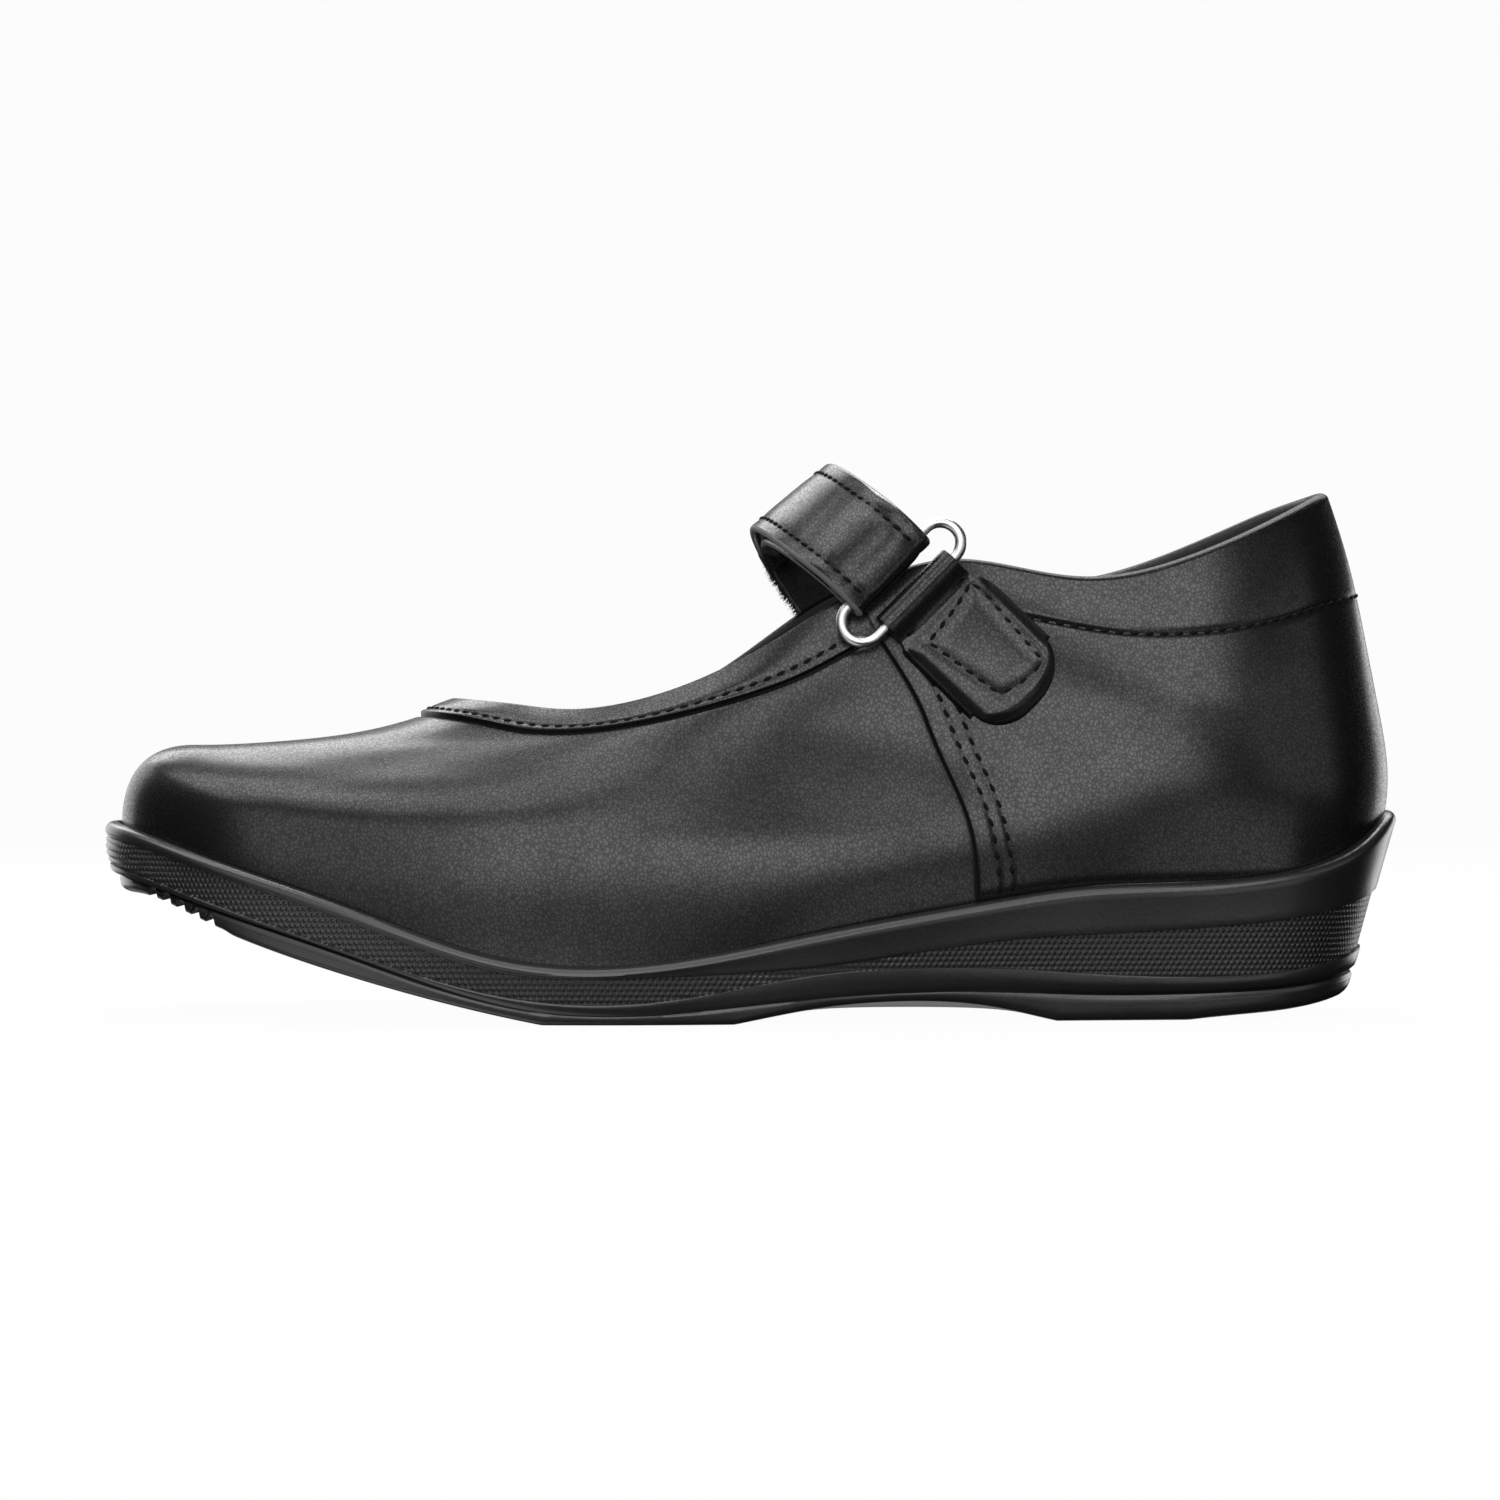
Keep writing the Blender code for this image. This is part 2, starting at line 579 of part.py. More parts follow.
def add_slot(bm, x, half_reach, width):
    """Box across the sole, sunk by the tread's depth into the ground line at x."""
    row = np.interp(x, column(OUTLINE, "x", LONG), np.arange(LAST_ROW + 1))
    here = float(np.maximum(ground_line(row), 0.0))
    ahead = float(np.maximum(ground_line(row + 0.1), 0.0))
    run = float(lip_line[0](row + 0.1) - lip_line[0](row))
    made = bmesh.ops.create_cube(bm, size=1.0)["verts"]
    bmesh.ops.scale(bm, vec=(width, 2.0 * half_reach, 2.0 * TREAD_DEPTH), verts=made)
    tilt = math.atan2(ahead - here, run)
    for vertex in made:
        along, up = vertex.co.x, vertex.co.z
        vertex.co.x = x + along * math.cos(tilt) - up * math.sin(tilt)
        vertex.co.z = here + along * math.sin(tilt) + up * math.cos(tilt)


def tread_slots():
    bm = bmesh.new()
    for count in range(TOE_SLOT_COUNT):
        add_slot(bm, TOE_SLOTS_FROM + TOE_SLOT_PITCH * count, BALL_WIDTH, TOE_SLOT_WIDTH)
    for x in FOREFOOT_GROOVES:
        add_slot(bm, x, FOREFOOT_GROOVE_REACH, GROOVE_WIDTH)
    for x in HEEL_GROOVES:
        add_slot(bm, x, HEEL_GROOVE_REACH, GROOVE_WIDTH)
    return bm


def make_insole(material):
    bm = bmesh.new()
    inset = feather_inset(PLACES) + UPPER_WALL + FIT_GAP + 0.2
    low = sole_edge(PLACES, inset, bed_height(PLACES) + FIT_GAP)
    high = sole_edge(PLACES, inset, bed_height(PLACES) + FIT_GAP + INSOLE_THICKNESS)
    made = add_rings(bm, [low, high])
    add_span(bm, made[0], 3)
    add_span(bm, made[1], 3)
    return make_object("insole", bm, material)


def ring_frame():
    """Middle of the ring's rear bar on the leather of the lateral quarter, and three directions there."""
    turn = math.radians(RING_AXIS_DEG)
    bar = np.array([math.cos(turn), math.sin(turn)])
    back = np.array([math.sin(turn), -math.cos(turn)])
    rear = np.array(RING_CENTRE) + RING_HALF_WIDTH * back
    spots = np.array([rear, rear - 8.0 * bar, rear + 8.0 * bar, rear + 12.0 * back])
    seat, low, high, behind = side_point(spots[:, 0], spots[:, 1])
    along = unit(high - low)
    backward = behind - seat
    backward = unit(backward - along * np.dot(backward, along))
    lift = np.cross(along, backward)
    lift = lift if lift[1] < 0.0 else -lift
    return seat, along, backward, lift


def make_ring(material):
    """Wire bent to an oval with two straight bars."""
    seat, along, backward, lift = ring_frame()
    centre = seat + lift * RING_LIFT - backward * RING_HALF_WIDTH
    steps = 10
    points = []
    for end in (1.0, -1.0):
        for step in range(steps + 1):
            angle = math.pi * step / steps
            reach = end * (RING_HALF_STRAIGHT + RING_HALF_WIDTH * math.sin(angle))
            width = end * RING_HALF_WIDTH * math.cos(angle)
            points.append(centre + along * reach + backward * width)
    curve = bpy.data.curves.new("ring", "CURVE")
    curve.dimensions = "3D"
    curve.bevel_depth = 0.5 * RING_WIRE * MM
    curve.bevel_resolution = 2
    spline = curve.splines.new("POLY")
    spline.points.add(len(points) - 1)
    for knot, point in zip(spline.points, points):
        knot.co = (*(point * MM), 1.0)
    spline.use_cyclic_u = True
    thing = bpy.data.objects.new("ring", curve)
    bpy.context.scene.collection.objects.link(thing)
    curve.materials.append(material)
    return thing


def tab_profile():
    """Folded tab from its tip's underside: distance behind the bar, height off the leather."""
    low = QUARTER_RAISE + FIT_GAP
    high = low + 2.0 * TAB_LEAF
    radius = 0.5 * RING_WIRE + FIT_GAP + TAB_LEAF
    profile = [(share * TAB_LENGTH, low) for share in (1.0, 0.84, 0.68, 0.52, 0.36)]
    profile.append((4.0, low + 0.05))
    for step in range(9):
        angle = 1.5 * math.pi - math.pi * step / 8
        profile.append((radius * math.cos(angle), RING_LIFT + radius * math.sin(angle)))
    profile.append((2.2, RING_LIFT + radius - 0.45))
    profile.append((4.6, high + 1.0))
    profile.append((0.3 * TAB_LENGTH, high + 0.25))
    profile += [(share * TAB_LENGTH, high) for share in (0.44, 0.58, 0.72, 0.86, 1.0)]
    return profile


def make_tab(material):
    bm = bmesh.new()
    seat, along, backward, lift = ring_frame()
    profile = np.array(tab_profile())
    middle, half = 0.5 * (TAB_FROM + TAB_TO), 0.5 * (TAB_TO - TAB_FROM)
    rings = []
    for side in (-1.0, -0.93, -0.7, -0.35, 0.0, 0.35, 0.7, 0.93, 1.0):
        corner = max(0.0, abs(side) * half - (half - TAB_CORNER))
        short = TAB_CORNER - math.sqrt(max(TAB_CORNER ** 2 - corner ** 2, 0.0))
        behind = profile[:, 0] * np.where(profile[:, 0] > 4.0, 1.0 - 0.85 * short / TAB_LENGTH, 1.0)
        across = middle + side * half + max(side, 0.0) * TAB_FLARE * smooth_step(1.0, 9.0, behind)
        flat = seat + along * across[:, None] + backward * behind[:, None]
        ground = np.sum((side_point(flat[:, 0], flat[:, 2]) - flat) * lift, axis=1)
        follow = smooth_step(0.0, 7.0, behind)
        rings.append(flat + lift * (profile[:, 1] + follow * ground)[:, None])
    made = add_rings(bm, rings)
    for end in (made[0], made[-1]):
        bmesh.ops.triangulate(bm, faces=[bm.faces.new(end)])
    tab = make_object("ring_tab", bm, material)
    bore = bmesh.new()
    radius = 0.5 * RING_WIRE + FIT_GAP
    centre = seat + lift * RING_LIFT
    ends = []
    for reach in (-16.0, 16.0):
        turns = [2.0 * math.pi * step / 12 for step in range(12)]
        ends.append([centre + along * reach + radius * (backward * math.cos(turn) + lift * math.sin(turn))
                     for turn in turns])
    for ring in add_rings(bore, ends):
        bore.faces.new(ring)
    cut(tab, "tab_bore_cutter", bore)
    return tab


def strap_rows():
    """Points of the strap's middle line, from its sewn end to the middle of the ring's front bar."""
    seat, along, backward, lift = ring_frame()
    tilt = math.radians(STRAP_AXIS_DEG)
    instep = np.array([math.cos(tilt), 0.0, math.sin(tilt)])
    down = np.array([math.sin(tilt), 0.0, -math.cos(tilt)])
    rows = []
    for row in STRAP:
        point = np.array(INSTEP_TOP) + down * row.drop + instep * row.drift
        point[1] = row.y
        rows.append(point)
    bar = seat + lift * RING_LIFT - backward * 2.0 * RING_HALF_WIDTH + along * STRAP_SHIFT
    rows.append(bar - backward * STRAP_STRAIGHT)
    rows.append(bar)
    return np.array(rows), instep, along


STRAP_GAP = TAPE_THICKNESS + 2.0 * TAPE_GAP
STRAP_SPREAD = STRAP_GAP + STRAP_THICKNESS
BAR_SPREAD = RING_WIRE + 2.0 * FIT_GAP + STRAP_THICKNESS


def strap_line(places):
    """Middle points, width directions, outward directions and leaf spread at places along the strap."""
    rows, instep, along = strap_rows()
    curve = open_spline(rows)
    last = len(rows) - 1.0
    point = curve(places)
    ahead = unit(curve(np.minimum(places + 0.01, last)) - curve(np.maximum(places - 0.01, 0.0)))
    turned = smooth_step(5.0, last - 1.0, places)[:, None]
    width = unit(instep * (1.0 - turned) + along * turned)
    out = unit(np.cross(ahead, width))
    width = unit(np.cross(out, ahead))
    spread = STRAP_SPREAD + (BAR_SPREAD - STRAP_SPREAD) * smooth_step(last - 2.2, last - 0.5, places)
    return point, width, out, spread


def seat_on_inner_wall(points, reach):
    """How far strap points move out to clear the inner quarter. Reach is the leaf's depth below them."""
    wall_y = side_point(points[..., 0], points[..., 2], medial=True)[..., 1]
    short = wall_y + QUARTER_RAISE + FIT_GAP + reach - points[..., 1]
    short = np.where(points[..., 1] > 15.0, short, -9.0)
    return 0.5 * (short + np.sqrt(short ** 2 + 0.16))


STRIP_SPANS = np.array([-1.0, -0.4, 0.4, 1.0])


def make_strip(name, material, stops, half_widths, thickness):
    """Strip through stops of middle, width direction, outward direction, offset and depth over the wall."""
    bm = bmesh.new()
    rings = []
    for (point, width, out, offset, depth), half_width in zip(stops, half_widths):
        across = point + width * (STRIP_SPANS * half_width)[:, None]
        if depth is not None:
            full = STRIP_SPANS * 0.5 * STRAP_WIDTH
            moved = seat_on_inner_wall(point + width * full[:, None], depth)
            across[:, 1] += np.interp(STRIP_SPANS * half_width, full, moved)
        middle = across + out * offset
        leaf = out * math.copysign(0.5 * thickness, offset)
        rings.append(np.concatenate([middle + leaf, (middle - leaf)[::-1]]))
    made = add_rings(bm, rings)
    for end in (made[0], made[-1]):
        bmesh.ops.triangulate(bm, faces=[bm.faces.new(end)])
    return make_object(name, bm, material)


def rounded_width(distance, half_width, radius):
    """Half width of a strip at a distance from its rounded end."""
    short = np.clip(radius - np.asarray(distance), 0.0, radius)
    return half_width - radius + np.sqrt(np.maximum(radius ** 2 - short ** 2, 0.05 * radius ** 2))


def strap_stop(line, number, side):
    """One stop of a run of the strap: side is -1 for the run under the middle line, 1 for the upper one."""
    point, width, out, spread = (values[number] for values in line)
    return point, width, out, side * 0.5 * spread, 0.5 * (spread + STRAP_THICKNESS)


def strap_grid():
    """Places along the strap that its two runs and the tape share."""
    last = len(STRAP) + 1
    return np.linspace(0.0, last, last * STRAP_STATIONS + 1)


def make_strap(material):
    """One leaf that runs to the ring, turns round its front bar and comes back on top to its free end."""
    grid = strap_grid()
    half = 0.5 * STRAP_WIDTH
    base_places = np.sort(np.append(grid, (0.05, 0.15)))
    base = strap_line(base_places)
    stops = [strap_stop(base, number, -1.0) for number in range(len(base_places))]
    widths = list(rounded_width(SEWN_ROW_LENGTH * base_places, half, STRAP_CORNER))
    bar, across, away, spread = (values[-1] for values in base)
    ahead = np.cross(across, away)
    for step in range(1, FOLD_STEPS):
        angle = math.pi * step / FOLD_STEPS
        turned = ahead * math.sin(angle) - away * math.cos(angle)
        stops.append((bar, across, turned, 0.5 * spread, None))
        widths.append(half)
    back_places = np.append(grid[grid > FREE_END + 0.2], FREE_END + np.array([0.0, 0.05, 0.15]))
    back_places = np.sort(back_places)[::-1]
    back = strap_line(back_places)
    stops += [strap_stop(back, number, 1.0) for number in range(len(back_places))]
    widths += list(rounded_width(FREE_ROW_LENGTH * (back_places - FREE_END), half, STRAP_CORNER))
    return make_strip("strap", material, stops, widths, STRAP_THICKNESS)


def make_tape(material):
    """Fastening tape that lies between the two runs of the strap."""
    grid = strap_grid()
    places = grid[(grid > FREE_END + 0.9) & (grid < grid[-1] - 2.3)]
    line = strap_line(places)
    stops = [strap_stop(line, number, 0.0) for number in range(len(places))]
    return make_strip("fastening_tape", material, stops, [0.5 * TAPE_WIDTH] * len(places), TAPE_THICKNESS)


leather = make_material("black_leather", (0.012, 0.012, 0.013), 0.42)
rubber = make_material("black_rubber", (0.010, 0.010, 0.011), 0.40)
lining = make_material("insole_leather", (0.020, 0.020, 0.021), 0.75)
strap_leather = make_material("strap_leather", (0.012, 0.012, 0.013), 0.45)
pile = make_material("black_pile", (0.010, 0.010, 0.010), 0.95)
steel = make_material("polished_steel", (0.62, 0.62, 0.62), 0.18, 1.0)
tab_leather = make_material("tab_leather", (0.012, 0.012, 0.013), 0.42)

make_sole(rubber)
make_upper(leather)
make_insole(lining)
make_ring(steel)
make_tab(tab_leather)
make_strap(strap_leather)
make_tape(pile)
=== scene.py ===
# Left school shoe with one strap: leather, seams, moulded sole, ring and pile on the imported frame
import math

import bpy
import numpy as np
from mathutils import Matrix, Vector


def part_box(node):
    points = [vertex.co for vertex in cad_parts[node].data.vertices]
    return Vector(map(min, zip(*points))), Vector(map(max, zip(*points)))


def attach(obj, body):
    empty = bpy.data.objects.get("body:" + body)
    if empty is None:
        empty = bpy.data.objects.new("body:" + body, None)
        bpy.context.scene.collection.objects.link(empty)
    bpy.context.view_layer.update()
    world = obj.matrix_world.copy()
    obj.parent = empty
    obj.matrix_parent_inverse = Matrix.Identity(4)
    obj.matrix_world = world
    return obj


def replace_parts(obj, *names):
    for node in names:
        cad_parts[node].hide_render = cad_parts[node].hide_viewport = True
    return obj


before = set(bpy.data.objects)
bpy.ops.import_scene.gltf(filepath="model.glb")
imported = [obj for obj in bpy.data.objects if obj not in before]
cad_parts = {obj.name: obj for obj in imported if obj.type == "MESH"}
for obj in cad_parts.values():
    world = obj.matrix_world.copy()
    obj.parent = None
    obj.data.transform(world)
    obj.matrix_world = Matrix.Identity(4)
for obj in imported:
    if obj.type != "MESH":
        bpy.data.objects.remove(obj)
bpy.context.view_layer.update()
soleLow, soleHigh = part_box("sole_unit")
drawnLength = 222.0  # millimetres, the shoe length at which the tables are drawn
mm = (soleHigh.x - soleLow.x) / drawnLength  # metres for each table millimetre
up = np.array([0.0, 0.0, 1.0])
print("frame loaded, shoe length", round(1000 * (soleHigh.x - soleLow.x), 1), "mm")

# Shape of the last: fifteen sections from the toe tip to the heel back, close to those of the solids.
# The inset, the lean and the shoulder of the upper follow its highlights.
outline = {  # sole seen from above, its lip and bed, and where the upper starts inside the lip
    "x": [-111.0, -108.4, -101.5, -88.0, -66.0, -40.0, -14.0,
          12.0, 38.5, 57.0, 75.0, 91.0, 102.5, 109.0, 111.0],
    "lateral": [3.0, -8.2, -17.2, -27.0, -35.0, -38.8, -39.2,
                -36.6, -32.6, -30.4, -28.9, -25.8, -19.6, -10.4, 0.0],
    "medial": [3.0, 13.8, 22.2, 30.6, 37.0, 39.2, 36.2, 31.2, 28.6, 28.0, 27.9, 25.4, 19.6, 10.4, 0.0],
    "lip": [32.8, 32.2, 30.4, 26.2, 19.2, 10.9, 10.4, 15.2, 19.9, 22.5, 23.2, 25.0, 28.8, 33.4, 34.7],
    "bed": [28.5, 28.0, 26.3, 22.0, 14.8, 7.2, 6.5, 11.2, 15.9, 18.2, 19.2, 19.6, 19.6, 19.6, 19.6],
    "inset": [2.9, 2.9, 2.9, 2.9, 2.9, 2.9, 2.9, 3.0, 3.5, 2.9, 2.6, 3.3, 4.6, 5.6, 6.0],
    "lean": [6.0, 6.0, 6.0, 6.0, 4.0, 1.0, 3.0, 11.0, 13.0, 11.0, 7.5, 8.0, 11.0, 14.0, 15.0],
}
soleWall = {  # slope of the side, textured band, groove, set-back and round edge of the tread layer, ground
    "taper": [1.2, 1.2, 1.2, 1.2, 1.2, 1.2, 1.4, 2.6, 3.4, 3.8, 4.2, 5.2, 6.6, 7.8, 8.2],
    "bandTop": [30.6, 30.0, 28.2, 24.0, 17.0, 8.7, 8.0, 9.6, 13.2, 14.6, 15.6, 17.0, 19.2, 21.0, 21.6],
    "bandLow": [25.6, 25.0, 23.0, 18.8, 11.8, 4.6, 3.9, 8.0, 9.0, 7.9, 7.3, 8.0, 9.6, 11.0, 11.6],
    "bandDepth": [0.4, 0.4, 0.5, 0.5, 0.5, 0.5, 0.4, 0.15, 0.4, 0.6, 0.6, 0.6, 0.6, 0.6, 0.6],
    "groove": [24.0, 23.3, 21.6, 17.6, 10.9, 3.1, 1.8, 4.2, 5.2, 4.6, 4.7, 5.4, 6.6, 7.3, 7.5],
    "grooveDepth": [1.0, 1.0, 1.0, 1.0, 0.7, 0.3, 0.2, 0.2, 0.5, 0.9, 1.1, 1.2, 1.2, 1.2, 1.2],
    "layer": [1.4, 1.4, 1.2, 1.0, 0.6, 0.2, 0.1, 0.1, 0.2, 0.3, 0.3, 0.3, 0.2, 0.2, 0.2],
    "edge": [1.2, 1.2, 1.1, 1.0, 0.9, 0.8, 0.8, 1.0, 1.2, 1.4, 1.6, 1.8, 2.0, 2.2, 2.2],
    "groundLateral": [21.2, 20.7, 19.5, 14.4, 7.6, 1.2, -1.6, 2.5, 2.8, -0.9, 0.1, 1.3, 2.5, 3.0, 3.2],
    "groundMedial": [21.2, 20.7, 19.5, 14.4, 7.6, 1.2, -1.6, -0.3, -0.3, -0.9, 0.1, 1.3, 2.5, 3.0, 3.2],
}
shoulder = {  # where the side of the upper turns over, with the slope of the leather there
    "x": [-96.0, -94.3, -89.8, -81.0, -62.5, -38.5, -15.5, 6.0, 29.5, 48.0, 69.0, 87.0, 99.4, 105.6, 107.4],
    "lateral": [3.0, -3.6, -9.8, -17.2, -24.6, -29.8, -31.2,
                -30.6, -29.2, -29.1, -28.6, -24.7, -17.8, -9.4, 0.0],
    "medial": [3.0, 9.2, 15.0, 21.2, 26.6, 29.8, 29.2, 27.8, 27.2, 27.2, 26.8, 23.8, 17.8, 9.4, 0.0],
    "height": [45.9, 45.7, 44.8, 43.0, 41.6, 41.0, 44.5, 49.0, 50.0, 50.0, 51.0, 52.0, 52.4, 52.6, 52.6],
    "slope": [0.0, 3.0, 10.0, 21.0, 34.0, 47.0, 62.0, 79.0, 88.0, 88.0, 83.0, 80.0, 79.0, 79.0, 79.0],
}
topline = {  # edge of the opening, slope of the leather there, width of the strip or collar panel below
    "x": [-51.0, -49.3, -45.2, -38.6, -29.6, -18.6, -6.5, 6.0, 18.0, 35.0, 56.0, 76.0, 89.8, 97.0, 99.3],
    "lateral": [1.5, -5.4, -11.6, -16.8, -20.8, -23.6, -25.4,
                -26.3, -26.5, -26.0, -24.6, -20.6, -14.2, -7.2, 0.0],
    "medial": [1.5, 8.2, 13.8, 17.8, 20.8, 22.6, 23.8, 24.4, 24.6, 24.3, 23.4, 20.0, 14.0, 7.2, 0.0],
    "heightLateral": [53.2, 53.1, 52.7, 52.0, 51.2, 52.7, 56.9,
                      63.6, 71.0, 75.9, 72.9, 77.2, 83.4, 87.0, 88.3],
    "heightMedial": [53.2, 53.1, 52.7, 52.0, 51.2, 52.7, 57.8,
                     66.6, 73.3, 75.6, 74.0, 79.3, 85.2, 87.7, 88.3],
    "slope": [25.0, 26.0, 29.0, 35.0, 42.0, 50.0, 59.0, 68.0, 76.0, 80.0, 82.0, 79.0, 75.0, 72.0, 71.0],
    "trim": [6.0, 6.0, 6.2, 6.6, 7.3, 7.8, 8.0, 7.8, 7.8, 9.0, 9.8, 13.2, 15.6, 17.0, 17.4],
}
lastRow = len(outline["x"]) - 1
fullRound = 2 * lastRow
seamRow = 8  # section at which the side seam stands
fitGap = 0.3  # between pieces that touch


def closedCurve(values):  # smooth closed curve through values at 0, 1, 2 ..., with no jump in its curvature
    values = np.asarray(values, float)
    count = len(values)
    one = np.eye(count)
    system = 4.0 * one + np.roll(one, 1, axis=1) + np.roll(one, -1, axis=1)
    bend = np.linalg.solve(system, 6.0 * (np.roll(values, -1) - 2.0 * values + np.roll(values, 1)))

    def at(place):
        place = np.asarray(place, float) % count
        before = np.floor(place).astype(int) % count
        after = (before + 1) % count
        share = place - np.floor(place)
        rest = 1.0 - share
        bent = (rest ** 3 - rest) * bend[before] + (share ** 3 - share) * bend[after]
        return rest * values[before] + share * values[after] + bent / 6.0

    return at


def openCurve(points):  # smooth open curve through points at 0, 1, 2 ..., straight at both ends
    points = np.asarray(points, float)
    count = len(points)
    system = np.eye(count)
    wanted = np.zeros_like(points)
    for row in range(1, count - 1):
        system[row, row - 1:row + 2] = (1.0, 4.0, 1.0)
        wanted[row] = 6.0 * (points[row - 1] - 2.0 * points[row] + points[row + 1])
    bend = np.linalg.solve(system, wanted)

    def at(place):
        place = np.clip(np.asarray(place, float), 0.0, count - 1.0)
        before = np.minimum(np.floor(place).astype(int), count - 2)
        share = (place - before)[..., None]
        rest = 1.0 - share
        bent = (rest ** 3 - rest) * bend[before] + (share ** 3 - share) * bend[before + 1]
        return rest * points[before] + share * points[before + 1] + bent / 6.0

    return at


def roundCurve(table, lateral, medial=None):  # toe, lateral side, heel, then back along the medial side
    there = np.array(table[lateral])
    back = np.array(table[medial or lateral])
    return closedCurve(np.concatenate([there, back[-2:0:-1]]))


def roundLine(table, *heights):  # the three curves of a line round the shoe
    return [roundCurve(table, "x"), roundCurve(table, "lateral", "medial"), roundCurve(table, *heights)]


lipLine = roundLine(outline, "lip")
kneeLine = roundLine(shoulder, "height")
topLine = roundLine(topline, "heightLateral", "heightMedial")
bedHeight = roundCurve(outline, "bed")
footInset = roundCurve(outline, "inset")
footLean = roundCurve(outline, "lean")
kneeSlope = roundCurve(shoulder, "slope")
topSlope = roundCurve(topline, "slope")
trimWidth = roundCurve(topline, "trim")
wallCurve = {name: roundCurve(soleWall, name) for name in soleWall if not name.startswith("ground")}
groundLine = roundCurve(soleWall, "groundLateral", "groundMedial")


def unit(vectors):
    return vectors / np.linalg.norm(vectors, axis=-1, keepdims=True)


def smooth(low, high, value):  # 0 below low, 1 above high, an S between
    share = np.clip((value - low) / (high - low), 0.0, 1.0)
    return share * share * (3.0 - 2.0 * share)


def hump(value, middle, width):  # bell of height 1
    return np.exp(-((value - middle) / width) ** 2)


def rowOf(place):  # 0 at the toe, 14 at the heel, on either side
    place = place % fullRound
    return np.minimum(place, fullRound - place)


def linePoint(line, place):
    return np.stack([curve(place) for curve in line], axis=-1)


def lineFrame(line, place):  # directions along a line and out of it, seen from above
    ahead = linePoint(line, place + 0.01) - linePoint(line, place - 0.01)
    ahead[..., 2] = 0.0
    along = unit(ahead)
    return along, np.stack([along[..., 1], -along[..., 0], np.zeros_like(along[..., 0])], axis=-1)


def soleEdge(place, inset, height):  # the lip's outline moved in by an inset, at a height
    point = linePoint(lipLine, place) - np.asarray(inset)[..., None] * lineFrame(lipLine, place)[1]
    point[..., 2] = height
    return point


ribReach = {"foot": 0.55, "shoulder": 0.42, "top": 0.33}  # handles of a rib's arcs, as shares of their spans


def ribHandles(place):  # seven control points of the two Bezier arcs of a rib: sole, shoulder, opening
    foot = soleEdge(place, footInset(place), bedHeight(place) + fitGap)
    knee = linePoint(kneeLine, place)
    top = linePoint(topLine, place)
    climb = top - foot

    def leatherWay(line, slopeCurve):  # direction up the leather where it crosses a line
        along, out = lineFrame(line, place)
        drift = np.sum(climb * along, axis=-1, keepdims=True) / climb[..., 2:]
        slope = np.radians(slopeCurve(place))[..., None]
        return unit(-out * np.cos(slope) + up * np.sin(slope) + along * drift * np.sin(slope))

    kneeWay = leatherWay(kneeLine, kneeSlope)
    topWay = leatherWay(topLine, topSlope)
    lean = np.radians(footLean(place))[..., None]
    footWay = lineFrame(lipLine, place)[1] * np.sin(lean) + up * np.cos(lean)
    low = np.linalg.norm(knee - foot, axis=-1, keepdims=True)
    high = np.linalg.norm(top - knee, axis=-1, keepdims=True)
    return (foot, foot + footWay * low * ribReach["foot"], knee - kneeWay * low * ribReach["shoulder"], knee,
            knee + kneeWay * high * ribReach["top"], top - topWay * high * ribReach["top"], top)


def bezier(start, first, second, end, share):
    rest = 1.0 - share
    return (rest ** 3 * start + 3.0 * rest ** 2 * share * first
            + 3.0 * rest * share ** 2 * second + share ** 3 * end)


def ribPoint(handles, share):  # share 0 to 1 is the lower arc, 1 to 2 the upper one
    share = share[..., None]
    low = bezier(*handles[:4], np.clip(share, 0.0, 1.0))
    high = bezier(*handles[3:], np.clip(share - 1.0, 0.0, 1.0))
    return np.where(share < 1.0, low, high)


def ribRuns(places, samples=48):  # handles of each rib, and its arc length at even shares
    handles = [handle[:, None, :] for handle in ribHandles(places)]
    shares = np.linspace(0.0, 2.0, samples + 1)
    line = ribPoint(handles, np.broadcast_to(shares, (len(places), samples + 1)))
    steps = np.linalg.norm(np.diff(line, axis=1), axis=2)
    run = np.concatenate([np.zeros((len(places), 1)), np.cumsum(steps, axis=1)], axis=1)
    return handles, shares, run


def leather(places, rises):  # bare last: rises are arc length shares of each place's rib, 1 at the top
    handles, shares, run = ribRuns(places)
    wanted = np.clip(rises, 0.0, 1.0) * run[:, -1:]
    before = np.minimum((run[:, None, 1:-1] <= wanted[..., None]).sum(axis=2), len(shares) - 2)
    low = np.take_along_axis(run, before, axis=1)
    high = np.take_along_axis(run, before + 1, axis=1)
    point = ribPoint(handles, shares[before] + (wanted - low) / (high - low) * shares[1])
    beyond = np.maximum(rises - 1.0, 0.0) * run[:, -1:]
    return point + unit(handles[6] - handles[5]) * beyond[..., None]


def leatherAt(place, rise):  # the same for one rise at each place
    place, rise = np.broadcast_arrays(np.asarray(place, float), np.asarray(rise, float))
    return leather(place.ravel(), rise.ravel()[:, None])[:, 0].reshape(place.shape + (3,))


def outwardAt(place, rise):  # outward direction of the last
    rise = np.clip(rise, 0.004, 0.996)
    across = leatherAt(place + 0.02, rise) - leatherAt(place - 0.02, rise)
    upward = leatherAt(place, rise + 0.004) - leatherAt(place, rise - 0.004)
    return unit(np.cross(across, upward))


def riseAtHeight(place, height):  # share of each rib at which its lower part reaches a height
    rises = np.linspace(0.0, 0.6, 121)
    heights = leather(place, np.broadcast_to(rises, (len(place), len(rises))))[..., 2]
    below = np.clip((heights < height[:, None]).sum(axis=1), 1, len(rises) - 1)[:, None]
    low = np.take_along_axis(heights, below - 1, axis=1)[:, 0]
    high = np.take_along_axis(heights, below, axis=1)[:, 0]
    share = np.clip((height - low) / (high - low), 0.0, 1.0)
    return (below[:, 0] - 1 + share) * rises[1]


